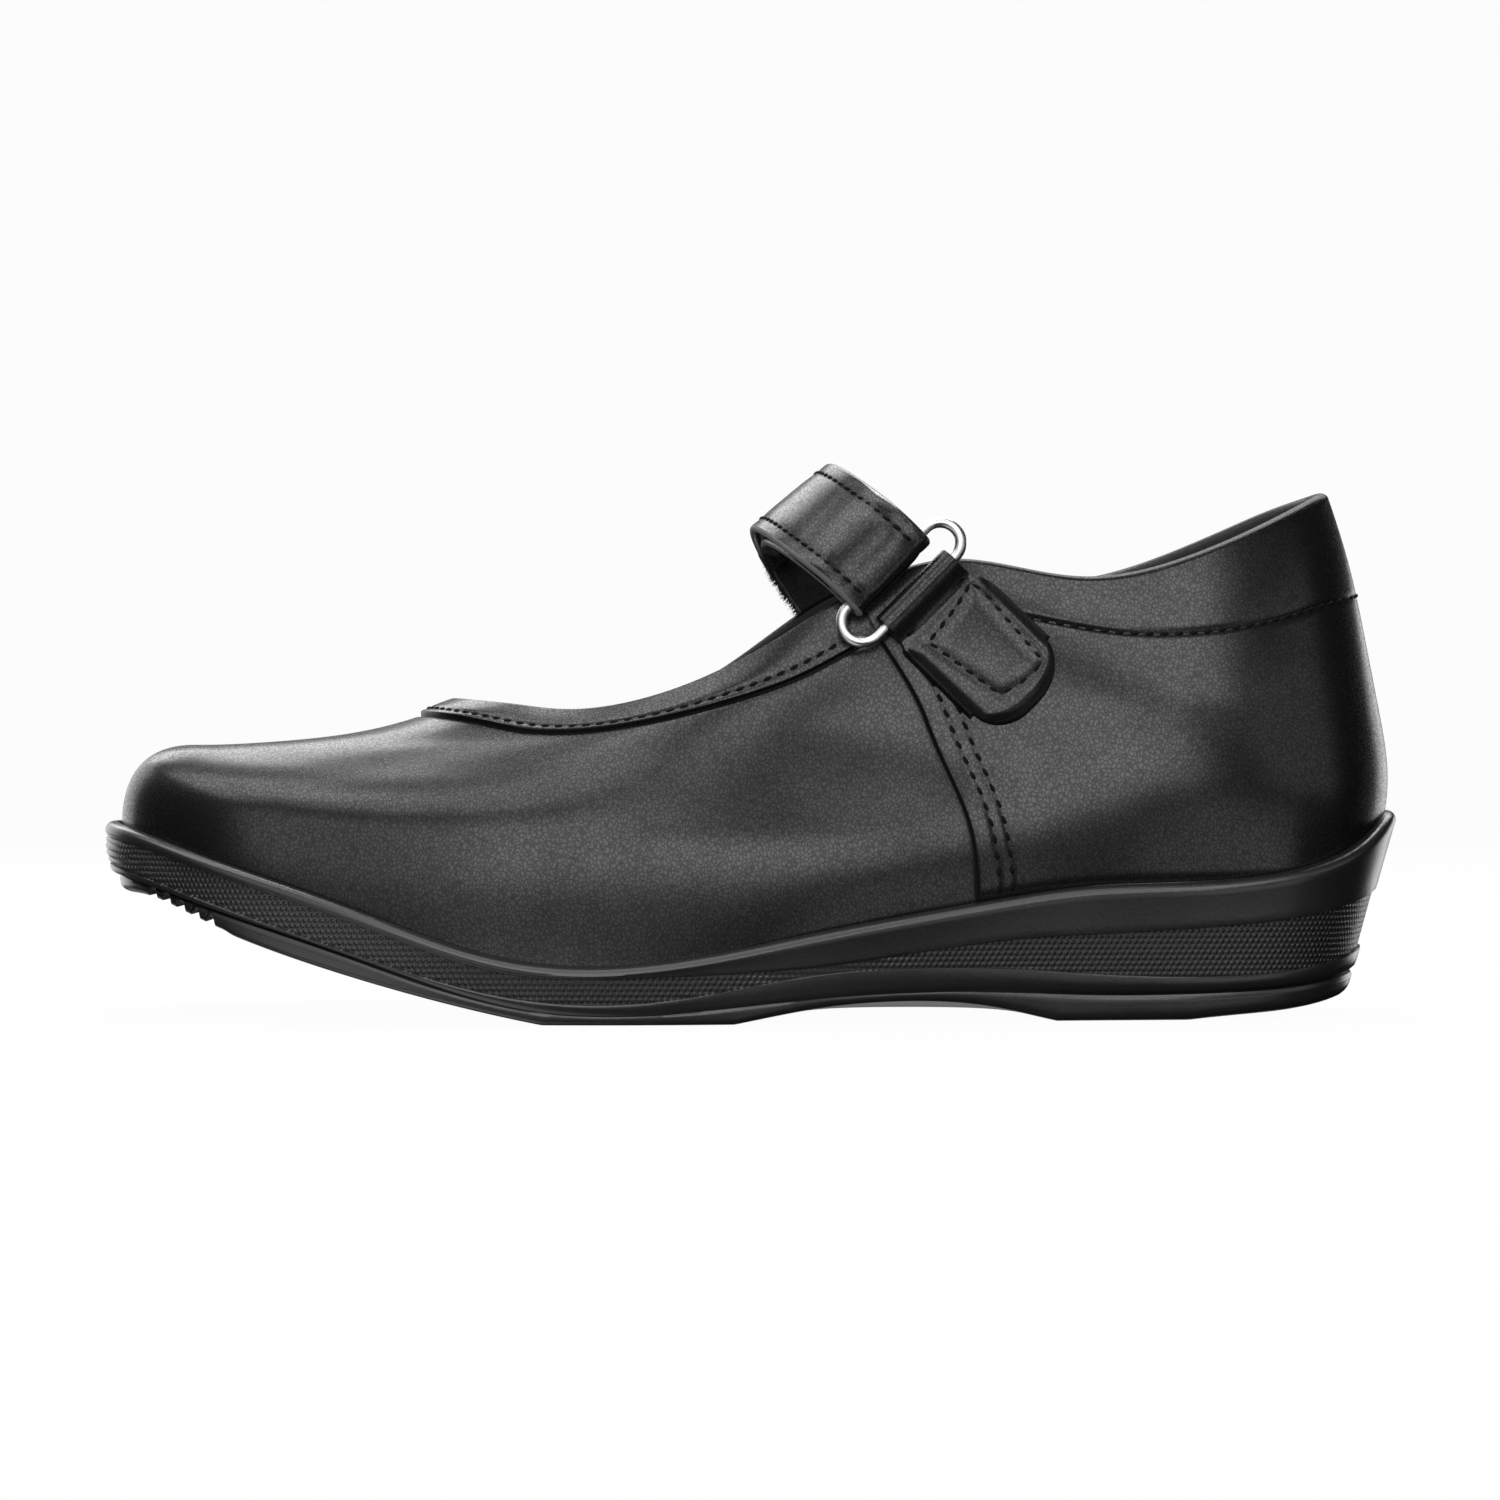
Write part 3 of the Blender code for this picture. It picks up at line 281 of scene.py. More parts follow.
def sidePoint(x, z, medial=False):  # point of the last seen at x and z from its lateral or its medial side
    x, z = np.broadcast_arrays(np.asarray(x, float), np.asarray(z, float))
    shape = x.shape
    x, z = x.ravel(), z.ravel()
    rows = np.linspace(5.0, 12.0, 29)
    rows = fullRound - rows if medial else rows
    place, rise = [grid.ravel() for grid in np.meshgrid(rows, np.linspace(0.3, 1.2, 19))]
    known = leatherAt(place, rise)
    nearest = np.argmin((x[:, None] - known[:, 0]) ** 2 + (z[:, None] - known[:, 2]) ** 2, axis=1)
    place, rise = place[nearest], rise[nearest]
    for _ in range(6):  # Newton steps on the two misses
        here = leatherAt(place, rise)
        byPlace = (leatherAt(place + 0.01, rise) - here) / 0.01
        byRise = (leatherAt(place, rise + 0.005) - here) / 0.005
        missX, missZ = x - here[:, 0], z - here[:, 2]
        size = byPlace[:, 0] * byRise[:, 2] - byPlace[:, 2] * byRise[:, 0]
        place = place + (missX * byRise[:, 2] - missZ * byRise[:, 0]) / size
        rise = rise + (byPlace[:, 0] * missZ - byPlace[:, 2] * missX) / size
    return leatherAt(place, rise).reshape(shape + (3,))


def gridQuads(first, second, aroundFirst=False, aroundSecond=False):  # vertex numbers of a grid's quads
    index = np.arange(first * second).reshape(first, second)
    ahead = np.roll(index, -1, axis=0)
    beside = np.roll(index, -1, axis=1)
    quads = np.stack([index, ahead, np.roll(ahead, -1, axis=1), beside], axis=-1)
    quads = quads[:None if aroundFirst else -1, :None if aroundSecond else -1]
    return quads.reshape(-1, 4)


def tubeFaces(rows, columns):  # quads of a closed tube and its two ends
    ends = [list(range(columns)), list(range((rows - 1) * columns, rows * columns))[::-1]]
    return gridQuads(rows, columns, False, True).tolist() + ends


def addThing(name, data):
    thing = bpy.data.objects.new(name, data)
    bpy.context.scene.collection.objects.link(thing)
    return thing


# Piece from points in millimetres, with the number of each face's finish
def makeMesh(name, points, faces, finishes, faceFinish=None, sharpAngle=40.0):
    mesh = bpy.data.meshes.new(name)
    mesh.from_pydata((points.reshape(-1, 3) * mm).tolist(), [], faces)
    for finish in finishes:
        mesh.materials.append(finish)
    if faceFinish is not None:
        mesh.polygons.foreach_set("material_index", faceFinish.astype(np.int32))
    mesh.shade_smooth()
    mesh.set_sharp_from_angle(angle=math.radians(sharpAngle))
    thing = addThing(name, mesh)
    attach(thing, "root")
    return thing


def welded(points, faces):  # one vertex in place of several at the same point, and no faces without area
    points = points.reshape(-1, 3)
    keys = np.round(points * 1000.0).astype(np.int64)
    _, first, where = np.unique(keys, axis=0, return_index=True, return_inverse=True)
    rings = [list(dict.fromkeys(ring)) for ring in where.ravel()[np.asarray(faces)].tolist()]
    return points[first], [ring for ring in rings if len(ring) > 2]


def addAttribute(thing, name, values):  # one number at each vertex, for the finish to read
    made = thing.data.attributes.new(name, "FLOAT", "POINT")
    made.data.foreach_set("value", np.asarray(values, np.float32).ravel())


def addMap(thing, across, along):  # UV map from two numbers at each vertex
    layer = thing.data.uv_layers.new(name="surface")
    corners = np.empty(len(thing.data.loops), np.int32)
    thing.data.loops.foreach_get("vertex_index", corners)
    pairs = np.stack([np.ravel(across)[corners], np.ravel(along)[corners]], axis=-1)
    layer.data.foreach_set("uv", pairs.astype(np.float32).ravel())


class Wire:  # one socket of a finish, so that its maths reads as plain expressions
    def __init__(self, finish, socket):
        self.finish = finish
        self.socket = socket

    def sum(self, operation, *values):
        return self.finish.add("ShaderNodeMath", {"operation": operation}, dict(enumerate(values)))

    def __add__(self, other):
        return self.sum("ADD", self, other)

    def __sub__(self, other):
        return self.sum("SUBTRACT", self, other)

    def __rsub__(self, other):
        return self.sum("SUBTRACT", other, self)

    def __mul__(self, other):
        return self.sum("MULTIPLY", self, other)

    def __truediv__(self, other):
        return self.sum("DIVIDE", self, other)

    def __pow__(self, other):
        return self.sum("POWER", self, other)

    __radd__ = __add__
    __rmul__ = __mul__

    def within(self, low, high):  # S-shaped step from low to high
        return self.finish.add("ShaderNodeMapRange", {"interpolation_type": "SMOOTHSTEP"},
                               {"Value": self, "From Min": low, "From Max": high})


class Finish:  # one material: a Principled shader and the nodes that feed it
    def __init__(self, name, colour, roughness, **settings):
        self.material = bpy.data.materials.new(name)
        self.material.use_nodes = True
        self.tree = self.material.node_tree
        self.shader = self.tree.nodes["Principled BSDF"]
        self.feed("Base Color", (*colour, 1.0))
        self.feed("Roughness", roughness)
        for socket, value in settings.items():
            self.feed(socket.replace("_", " "), value)

    def put(self, socket, value):
        if isinstance(value, Wire):
            self.tree.links.new(value.socket, socket)
        else:
            socket.default_value = value

    def feed(self, socket, value):
        self.put(self.shader.inputs[socket], value)

    def add(self, kind, settings, sockets, output=0):  # any node: type, settings, then values or links
        node = self.tree.nodes.new(kind)
        for name, value in settings.items():
            setattr(node, name, value)
        for name, value in sockets.items():
            self.put(node.inputs[name], value)
        return Wire(self, node.outputs[output])

    def here(self):  # place on the object, in millimetres
        metres = self.add("ShaderNodeTexCoord", {}, {}, "Object")
        return self.add("ShaderNodeVectorMath", {"operation": "SCALE"}, {0: metres, "Scale": 1000.0})

    def noise(self, where, size, detail=2.0, output=0):  # soft noise with lumps of a size in millimetres
        lumps = {"Vector": where, "Scale": 1.0 / size, "Detail": detail}
        return self.add("ShaderNodeTexNoise", {}, lumps, output)

    def mix(self, share, first, second):  # between two colours
        pair = {"Factor": share, 6: (*first, 1.0), 7: (*second, 1.0)}
        return self.add("ShaderNodeMix", {"data_type": "RGBA"}, pair, 2)

    def raised(self, height, depth):  # bump from a height of 0 to 1, with its depth in millimetres
        relief = {"Height": height, "Distance": depth * 0.001, "Strength": 1.0}
        self.feed("Normal", self.add("ShaderNodeBump", {}, relief))


leatherLook = {"colour": (0.0024, 0.0024, 0.0026), "worn": (0.0040, 0.0040, 0.0043), "roughness": 0.48,
               "gloss": 0.25, "pebble": 0.64, "depth": 0.05, "wander": 0.9, "wanderSize": 1.1,
               "crease": 0.26, "fineSize": 0.24, "patchSize": 9.0, "shine": (0.30, 0.85)}
rubberLook = {"colour": (0.0070, 0.0070, 0.0073), "roughness": 0.30, "dotPitch": 1.05, "dotDepth": 0.22}
steelLook = {"colour": (0.44, 0.44, 0.435), "roughness": 0.32}


def paler(colour, times):
    return tuple(times * part for part in colour)


def makeLeather(name, look):  # satin grain: pebbles parted by fine creases; painted shade (no gloss) where groove is 1
    made = Finish(name, look["colour"], look["roughness"], Specular_IOR_Level=0.05,
                  Coat_Roughness=look["gloss"])
    here = made.here()
    drift = made.noise(here, look["wanderSize"], 3.0, "Color")
    bent = made.add("ShaderNodeVectorMath", {"operation": "MULTIPLY_ADD"},
                    {0: drift, 1: 3 * (look["wander"],), 2: here})
    tall = made.add("ShaderNodeVectorMath", {"operation": "MULTIPLY"}, {0: bent, 1: (1.0, 1.0, 0.8)})
    cells = made.add("ShaderNodeTexVoronoi", {"feature": "DISTANCE_TO_EDGE"},
                     {"Vector": tall, "Scale": 1.0 / look["pebble"]})
    pebbles = cells.within(0.0, look["crease"])
    fine = made.noise(here, look["fineSize"], 3.0)
    soft = made.noise(here, look["patchSize"], 2.0)
    grain = pebbles * 0.6 + fine * 0.4
    # the groove attribute is painted shade: seam gaps, stitch lines and dull edges lose their gloss
    groove = made.add("ShaderNodeAttribute", {"attribute_name": "groove"}, {}, "Fac")
    made.raised(grain, look["depth"])
    made.feed("Base Color", made.mix(grain * 0.5 + soft * 0.5, look["colour"], look["worn"]))
    made.feed("Roughness", look["roughness"] + 0.10 * (soft - 0.5))
    least, gain = look["shine"]
    shine = (least + gain * grain) * (0.85 + 0.40 * (soft - 0.5))
    made.feed("Coat Weight", shine * (1.0 - groove))
    return made.material


def makeRubber(name, look):  # moulded satin rubber, with rows of small round dots where dots is 1
    made = Finish(name, look["colour"], look["roughness"], Specular_IOR_Level=0.5)
    here = made.here()
    surface = made.add("ShaderNodeUVMap", {"uv_map": "surface"}, {})
    across = made.add("ShaderNodeSeparateXYZ", {}, {"Vector": surface}, "X")
    upward = Wire(made, across.socket.node.outputs["Y"])
    line = upward / (look["dotPitch"] * 0.87)
    odd = line.sum("FLOORED_MODULO", line.sum("FLOOR", line), 2.0)
    column = across / look["dotPitch"] + odd * 0.5
    offAcross = column.sum("FRACT", column) - 0.5
    offUpward = line.sum("FRACT", line) - 0.5
    off = (offAcross * offAcross + offUpward * offUpward) ** 0.5
    dots = made.add("ShaderNodeAttribute", {"attribute_name": "dots"}, {}, "Fac")
    knob = (1.0 - off.within(0.16, 0.44)) * dots
    fine = made.noise(here, 0.6, 3.0)
    soft = made.noise(here, 14.0, 2.0)
    made.raised(knob + fine * 0.10 + soft * 0.35, look["dotDepth"])
    made.feed("Roughness", look["roughness"] + 0.10 * (soft - 0.5) + 0.08 * (fine - 0.5) + 0.08 * dots)
    made.feed("Base Color", made.mix(soft, look["colour"], paler(look["colour"], 1.5)))
    return made.material


def makeCloth(name, colour, fibre, roughness):  # pile or woven lining: fine fibres, matte with a sheen
    made = Finish(name, colour, roughness, Sheen_Weight=0.06, Sheen_Roughness=0.5, Specular_IOR_Level=0.2)
    here = made.here()
    fuzz = made.noise(here, fibre, 4.0)
    clump = made.noise(here, 6.0 * fibre, 2.0)
    made.raised(fuzz + clump * 0.6, 0.35 * fibre)
    made.feed("Base Color", made.mix(fuzz * 0.6 + clump * 0.4, colour, paler(colour, 2.2)))
    return made.material


def makeSteel(name, look):  # polished wire with faint drawing marks
    made = Finish(name, look["colour"], look["roughness"], Metallic=1.0)
    here = made.here()
    marks = made.noise(here, 0.5, 3.0)
    haze = made.noise(here, 4.0, 2.0)
    made.raised(marks, 0.012)
    made.feed("Roughness", look["roughness"] + 0.10 * (haze - 0.4))
    return made.material


def makeThread(name, colour):  # twisted sewing thread
    made = Finish(name, colour, 0.75, Specular_IOR_Level=0.10)
    here = made.here()
    twist = made.noise(here, 0.25, 2.0)
    made.raised(twist, 0.06)
    made.feed("Base Color", made.mix(twist, colour, paler(colour, 2.0)))
    return made.material


upperLeather = makeLeather("upper_leather", leatherLook)
strapLeather = makeLeather("strap_leather_finish", leatherLook)
tabLeather = makeLeather("tab_leather_finish", leatherLook)
soleRubber = makeRubber("sole_rubber", rubberLook)
liningCloth = makeCloth("lining_cloth", (0.012, 0.012, 0.0125), 0.35, 0.85)
pileCloth = makeCloth("pile_cloth", (0.009, 0.009, 0.009), 0.3, 0.95)
cutEdge = makeCloth("cut_edge", (0.045, 0.045, 0.047), 0.25, 0.9)
insoleCloth = makeCloth("insole_cloth", (0.016, 0.016, 0.017), 0.5, 0.8)
ringSteel = makeSteel("ring_steel", steelLook)
thread = makeThread("black_thread", (0.0018, 0.0018, 0.0019))
print("finishes made")

# Upper: grid of places round the shoe by stops up each rib, lifted off the last by its panels and seams
upper = {
    "wall": 1.8, "throatWall": 1.4, "collarPadding": 1.1, "collarPuff": 0.35, "collarRaise": 0.10,
    "collarDip": 0.22, "stripRaise": 0.75, "stripPuff": 0.18, "quarterRaise": 0.7, "seamDip": 0.22,
    "stitchDip": 0.16, "stripStitch": 1.6, "seamStitches": (3.4, 5.9), "rimHeight": 0.75, "collarRim": 0.55,
    # rimPaintedShade is painted shade that takes the gloss off the rolled rim
    "rimPaintedShade": 0.8, "stationsPerRow": 20, "bodyStops": 77, "panelStops": 19, "rimStops": 12,
    "throatEnds": (7.6, 8.6), "collarFades": (11.8, 13.6),  # rows between which these change
}


def ribLength(places):
    return ribRuns(places)[2][:, -1]


seamRises = np.linspace(0.0, 1.0, 41)
seamSpeeds = np.linalg.norm(leatherAt(seamRow + 0.02 + 0 * seamRises, seamRises)
                            - leatherAt(seamRow - 0.02 + 0 * seamRises, seamRises), axis=1) / 0.04


def seamSpeed(rise):  # millimetres for each row across the side seam, at a rise
    return np.interp(rise, seamRises, seamSpeeds)


def panelPlace(place, rise, length):  # over the edge of strip or collar, 1 at the throat, behind the seam
    row = rowOf(place)
    above = (rise - 1.0) * length + trimWidth(place)
    return above, 1.0 - smooth(*upper["throatEnds"], row), (row - seamRow) * seamSpeed(rise)


def panelLift(place, rise, length):  # height of the panels over the last, all arrays of one shape
    above, throat, behind = panelPlace(place, rise, length)
    share = np.clip(above / trimWidth(place), 0.0, 1.0)
    onBody = 1.0 - smooth(-0.15, 0.15, above)
    strip = upper["stripRaise"] * smooth(-0.14, 0.16, above) + upper["stripPuff"] * np.sin(np.pi * share)
    strip = strip - upper["seamDip"] * hump(above, -0.32, 0.38)
    strip = strip - upper["stitchDip"] * hump(above, upper["stripStitch"], 0.55)
    flank = 1.0 - 0.9 * smooth(*upper["collarFades"], rowOf(place))  # the line fades out at the heel back
    collar = upper["collarRaise"] * smooth(-0.5, 0.5, above)
    collar = collar + upper["collarPuff"] * np.sin(np.pi * share) ** 0.8
    collar = (collar - upper["collarDip"] * hump(above, 0.0, 0.6)) * flank
    quarter = upper["quarterRaise"] * smooth(-0.55, 0.1, behind)
    for distance in upper["seamStitches"]:
        quarter = quarter - 0.6 * upper["stitchDip"] * hump(behind, distance, 0.5)
    quarter = quarter * (throat * onBody + (1.0 - throat) * (1.0 - smooth(0.0, 0.9, share) * 0.4))
    overLip = smooth(0.03, 0.1, rise)
    return (strip * throat + collar * (1.0 - throat) + quarter) * overLip


def paintedSeamShade(place, rise, length):  # painted shade, 1 in seam gaps and stitch lines, 0 on open leather
    above, throat, behind = panelPlace(place, rise, length)
    below = 1.0 - smooth(-0.6, 0.2, above) * throat
    strip = throat * (hump(above, -0.25, 0.4) + 0.35 * hump(above, upper["stripStitch"], 0.35))
    collar = 0.25 * (1.0 - throat) * hump(above, 0.0, 0.4)
    side = hump(behind, -0.35, 0.5)
    for distance in upper["seamStitches"]:
        side = side + 0.3 * hump(behind, distance, 0.35)
    return np.clip(strip + collar + side * below, 0.0, 1.0)


def stationsAround(perRow, *extra):  # places round the shoe, with extra ones on both sides
    half = np.concatenate([np.linspace(0.0, lastRow, lastRow * perRow + 1), *extra])
    half = np.unique(np.round(half, 5))
    return np.concatenate([half, fullRound - half[-2:0:-1]])


def surfaceNormals(points):  # outward directions of a grid that is closed in its first direction
    alongFirst = np.roll(points, -1, axis=0) - np.roll(points, 1, axis=0)
    alongSecond = np.gradient(points, axis=1)
    return unit(np.cross(alongFirst, alongSecond))


def makeUpper():
    step = np.array([-1.2, -0.8, -0.5, -0.34, -0.2, -0.1, 0.0, 0.1, 0.2, 0.34, 0.5, 0.8, 1.2])
    rows = np.arange(2.2, 7.4, 0.32)  # across the stitches behind the seam
    rowWidth = 20.0  # millimetres, about the width of one row at the seam
    places = stationsAround(upper["stationsPerRow"], seamRow + step / rowWidth, seamRow + rows / rowWidth)
    length = ribLength(places)[:, None]
    trim = trimWidth(places)[:, None]
    edge = np.array([-1.0, -0.75, -0.55, -0.4, -0.28, -0.16, -0.05, 0.06, 0.16,
                     0.28, 0.45, 0.7, 1.0, 1.3, 1.6, 1.9, 2.3])
    body = np.linspace(0.0, 1.0, upper["bodyStops"] + 1)[None, :-1] * (1.0 - (trim + 1.0) / length)
    fromEdge = 1.0 - trim / length + edge[None, :] / length
    panel = np.linspace(0.0, 1.0, upper["panelStops"] + 1)[None, 1:]
    panel = 1.0 - (trim - edge[-1]) / length * (1.0 - panel)
    rises = np.concatenate([body, fromEdge, panel], axis=1)
    last = leather(places, rises)
    out = surfaceNormals(last)
    lift = panelLift(np.broadcast_to(places[:, None], rises.shape), rises, length)
    outer = last + out * lift[..., None]
    padded = smooth(8.0, 9.5, rowOf(places))[:, None]
    rimWall = upper["throatWall"] + (upper["wall"] + upper["collarPadding"] - upper["throatWall"]) * padded
    rimRaise = lift[:, -1:]
    turn = np.linspace(0.0, np.pi, upper["rimStops"] + 2)[None, 1:-1]
    rimHeight = upper["rimHeight"] + upper["collarRim"] * padded
    rimOut = 0.5 * (rimRaise - rimWall) + 0.5 * (rimRaise + rimWall) * np.cos(turn)
    climb = unit(last[:, -1] - last[:, -2])[:, None, :]
    rim = last[:, -1:] + out[:, -1:] * rimOut[..., None] + climb * (rimHeight * np.sin(turn))[..., None]
    down = np.concatenate([np.linspace(1.0, 0.86, 8), np.linspace(0.83, 0.0, 22)])[None, :]
    innerRises = np.broadcast_to(down, (len(places), down.shape[1]))
    innerLast = leather(places, innerRises)
    deep = smooth(0.0, 1.0, (1.0 - innerRises) * length / (trim + 4.0))
    wall = rimWall * (1.0 - deep) + upper["wall"] * deep
    inner = innerLast + surfaceNormals(innerLast) * wall[..., None]  # runs down, so its normals point in
    points = np.concatenate([outer, rim, inner], axis=1)
    first, second = points.shape[:2]
    quads = gridQuads(first, second, True, True)
    column = np.tile(np.arange(second), first)
    lining = column >= outer.shape[1] + rim.shape[1] - 3
    thing = makeMesh("upper_shell", points, quads.tolist(), [upperLeather, liningCloth],
                     lining, 50.0)
    shade = np.full(points.shape[:2], upper["rimPaintedShade"])  # painted shade: the rolled rim loses its gloss
    # painted shade in the seam gaps and along the stitch lines, passed to the finish as groove
    shade[:, :outer.shape[1]] = paintedSeamShade(np.broadcast_to(places[:, None], rises.shape), rises, length)
    addAttribute(thing, "groove", shade)
    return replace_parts(thing, "upper")


makeUpper()
print("upper made")

# Sole unit: profile of stops down the side, carried round the outline, and a bottom with its tread
sole = {
    "bead": 1.5, "beadOut": 0.15, "ribs": 4, "ribHeight": 0.28, "toeBulge": 0.55,
    "treadDepth": 1.3, "slotPitch": 2.7, "slotWidth": 1.2, "slotsFrom": -100.6, "slotCount": 5,
    "toeRecess": 0.3, "grooveWidth": 2.2, "forefootGrooves": (-32.0, -24.5, -17.0, -9.5),
    "forefootReach": 29.0, "heelGrooves": (58.0, 65.5, 73.0), "heelReach": 18.0, "archBend": 2.0,
    "across": 44, "bedAcross": 8, "bandStops": 22, "stationsPerRow": 26,
    "slotRows": (1.6, 3.0, 90),  # rows with closer stations for the toe slots, and their number
}


def treadLift(x, y):  # how far the ground is cut up at a point of the bottom: toe slots and cross grooves
    lift = np.zeros_like(x)
    half = 0.5 * sole["slotWidth"]
    for number in range(sole["slotCount"]):
        off = np.abs(x - sole["slotsFrom"] - sole["slotPitch"] * number)
        lift = np.maximum(lift, 1.0 - smooth(half - 0.15, half + 0.2, off))
    for grooves, reach in (("forefootGrooves", "forefootReach"), ("heelGrooves", "heelReach")):
        inside = 1.0 - smooth(sole[reach] - 0.4, sole[reach] + 0.4, np.abs(y))
        for middle in sole[grooves]:
            half = 0.5 * sole["grooveWidth"]
            lift = np.maximum(lift, inside * (1.0 - smooth(half - 0.2, half + 0.25, np.abs(x - middle))))
    return sole["treadDepth"] * lift


def soleRings(places, ground, toe):  # rings over the lip and down the side, starts of its parts, dot mask
    lip, bed = lipLine[2](places), bedHeight(places)
    size = {name: curve(places) for name, curve in wallCurve.items()}
    out = lineFrame(lipLine, places)[1]
    bead, beadOut = sole["bead"], sole["beadOut"]
    beadLow = lip - bead

    def outer(height, inset):  # on the outer wall
        slope = size["taper"] * np.maximum(beadLow - height, 0.0) / (beadLow - ground)
        return soleEdge(places, slope + inset, height)

    def inner(height):  # on the wall that holds the upper
        point = leatherAt(places, riseAtHeight(places, height)) + out * fitGap
        point[:, 2] = height
        return point

    land, beadEdge = inner(lip - 0.35), outer(lip - 0.05, 0.95 * bead)
    rings = [inner(bed + fitGap) - up * fitGap]
    rings += [inner(bed + share * (lip - bed)) for share in (0.35, 0.7)] + [land]
    rings += [land + share * (beadEdge - land) + up * 0.25 * math.sin(math.pi * share)
              for share in (0.12, 0.4, 0.7)]
    within = len(rings)
    stops = [(beadLow + bead * math.sin(angle), bead * (1.0 - math.cos(angle)) - beadOut)
             for angle in np.radians(np.linspace(96.0, 0.0, 11))]  # height and inset of each outer ring
    bandTop, bandLow, depth = size["bandTop"], size["bandLow"], size["bandDepth"]
    stops += [(beadLow + share * (bandTop + 0.12 - beadLow), -beadOut * (1.0 - share) ** 2)
              for share in (0.15, 0.35, 0.6, 0.8, 0.94)]
    stops.append((bandTop, 0.12 * depth))
    bandFrom = within + len(stops)
    for stop in range(sole["bandStops"] + 1):
        share = stop / sole["bandStops"]
        ribs = 0.5 - 0.5 * math.cos(2.0 * math.pi * sole["ribs"] * share)
        bulge = sole["toeBulge"] * math.sin(math.pi * share) ** 0.7
        height = bandTop - 0.14 + share * (bandLow - bandTop + 0.28)
        stops.append((height, depth - toe * (sole["ribHeight"] * ribs + bulge)))
    bandTo = within + len(stops)
    groove, layer = size["groove"], size["layer"]
    inGroove = size["grooveDepth"] + layer
    stops.append((bandLow, 0.12 * depth))
    stops += [(bandLow - share * (bandLow - groove - 0.4), inset)
              for share, inset in ((0.1, 0.0), (0.5, 0.0), (0.85, 0.12))]
    stops += [(groove + 0.2, 0.55 * inGroove), (groove + 0.06, 0.95 * inGroove), (groove - 0.06, inGroove)]
    edge = np.minimum(size["edge"], 0.6 * (groove - ground))
    top = np.minimum(0.8, 0.5 * (groove - ground - edge))
    stops.append((groove - 0.35 * top, 0.30 * size["grooveDepth"] + layer))
    layerFrom = within + len(stops)
    stops += [(groove - top - share * (groove - top - ground - edge), layer) for share in (0.0, 0.33, 0.66)]
    stops += [(ground + edge * (1.0 - math.sin(angle)), layer + edge * (1.0 - math.cos(angle)))
              for angle in np.radians(np.linspace(0.0, 90.0, 6))]
    rings += [outer(height, inset) for height, inset in stops]
    mask = np.zeros((len(places), len(rings)))
    dotted = (1.0 - toe) * smooth(0.12, 0.3, depth) * smooth(0.4, 1.2, bandTop - bandLow)
    mask[:, bandFrom:bandTo] = dotted[:, None]
    return np.stack(rings, axis=1), bandFrom, layerFrom, mask


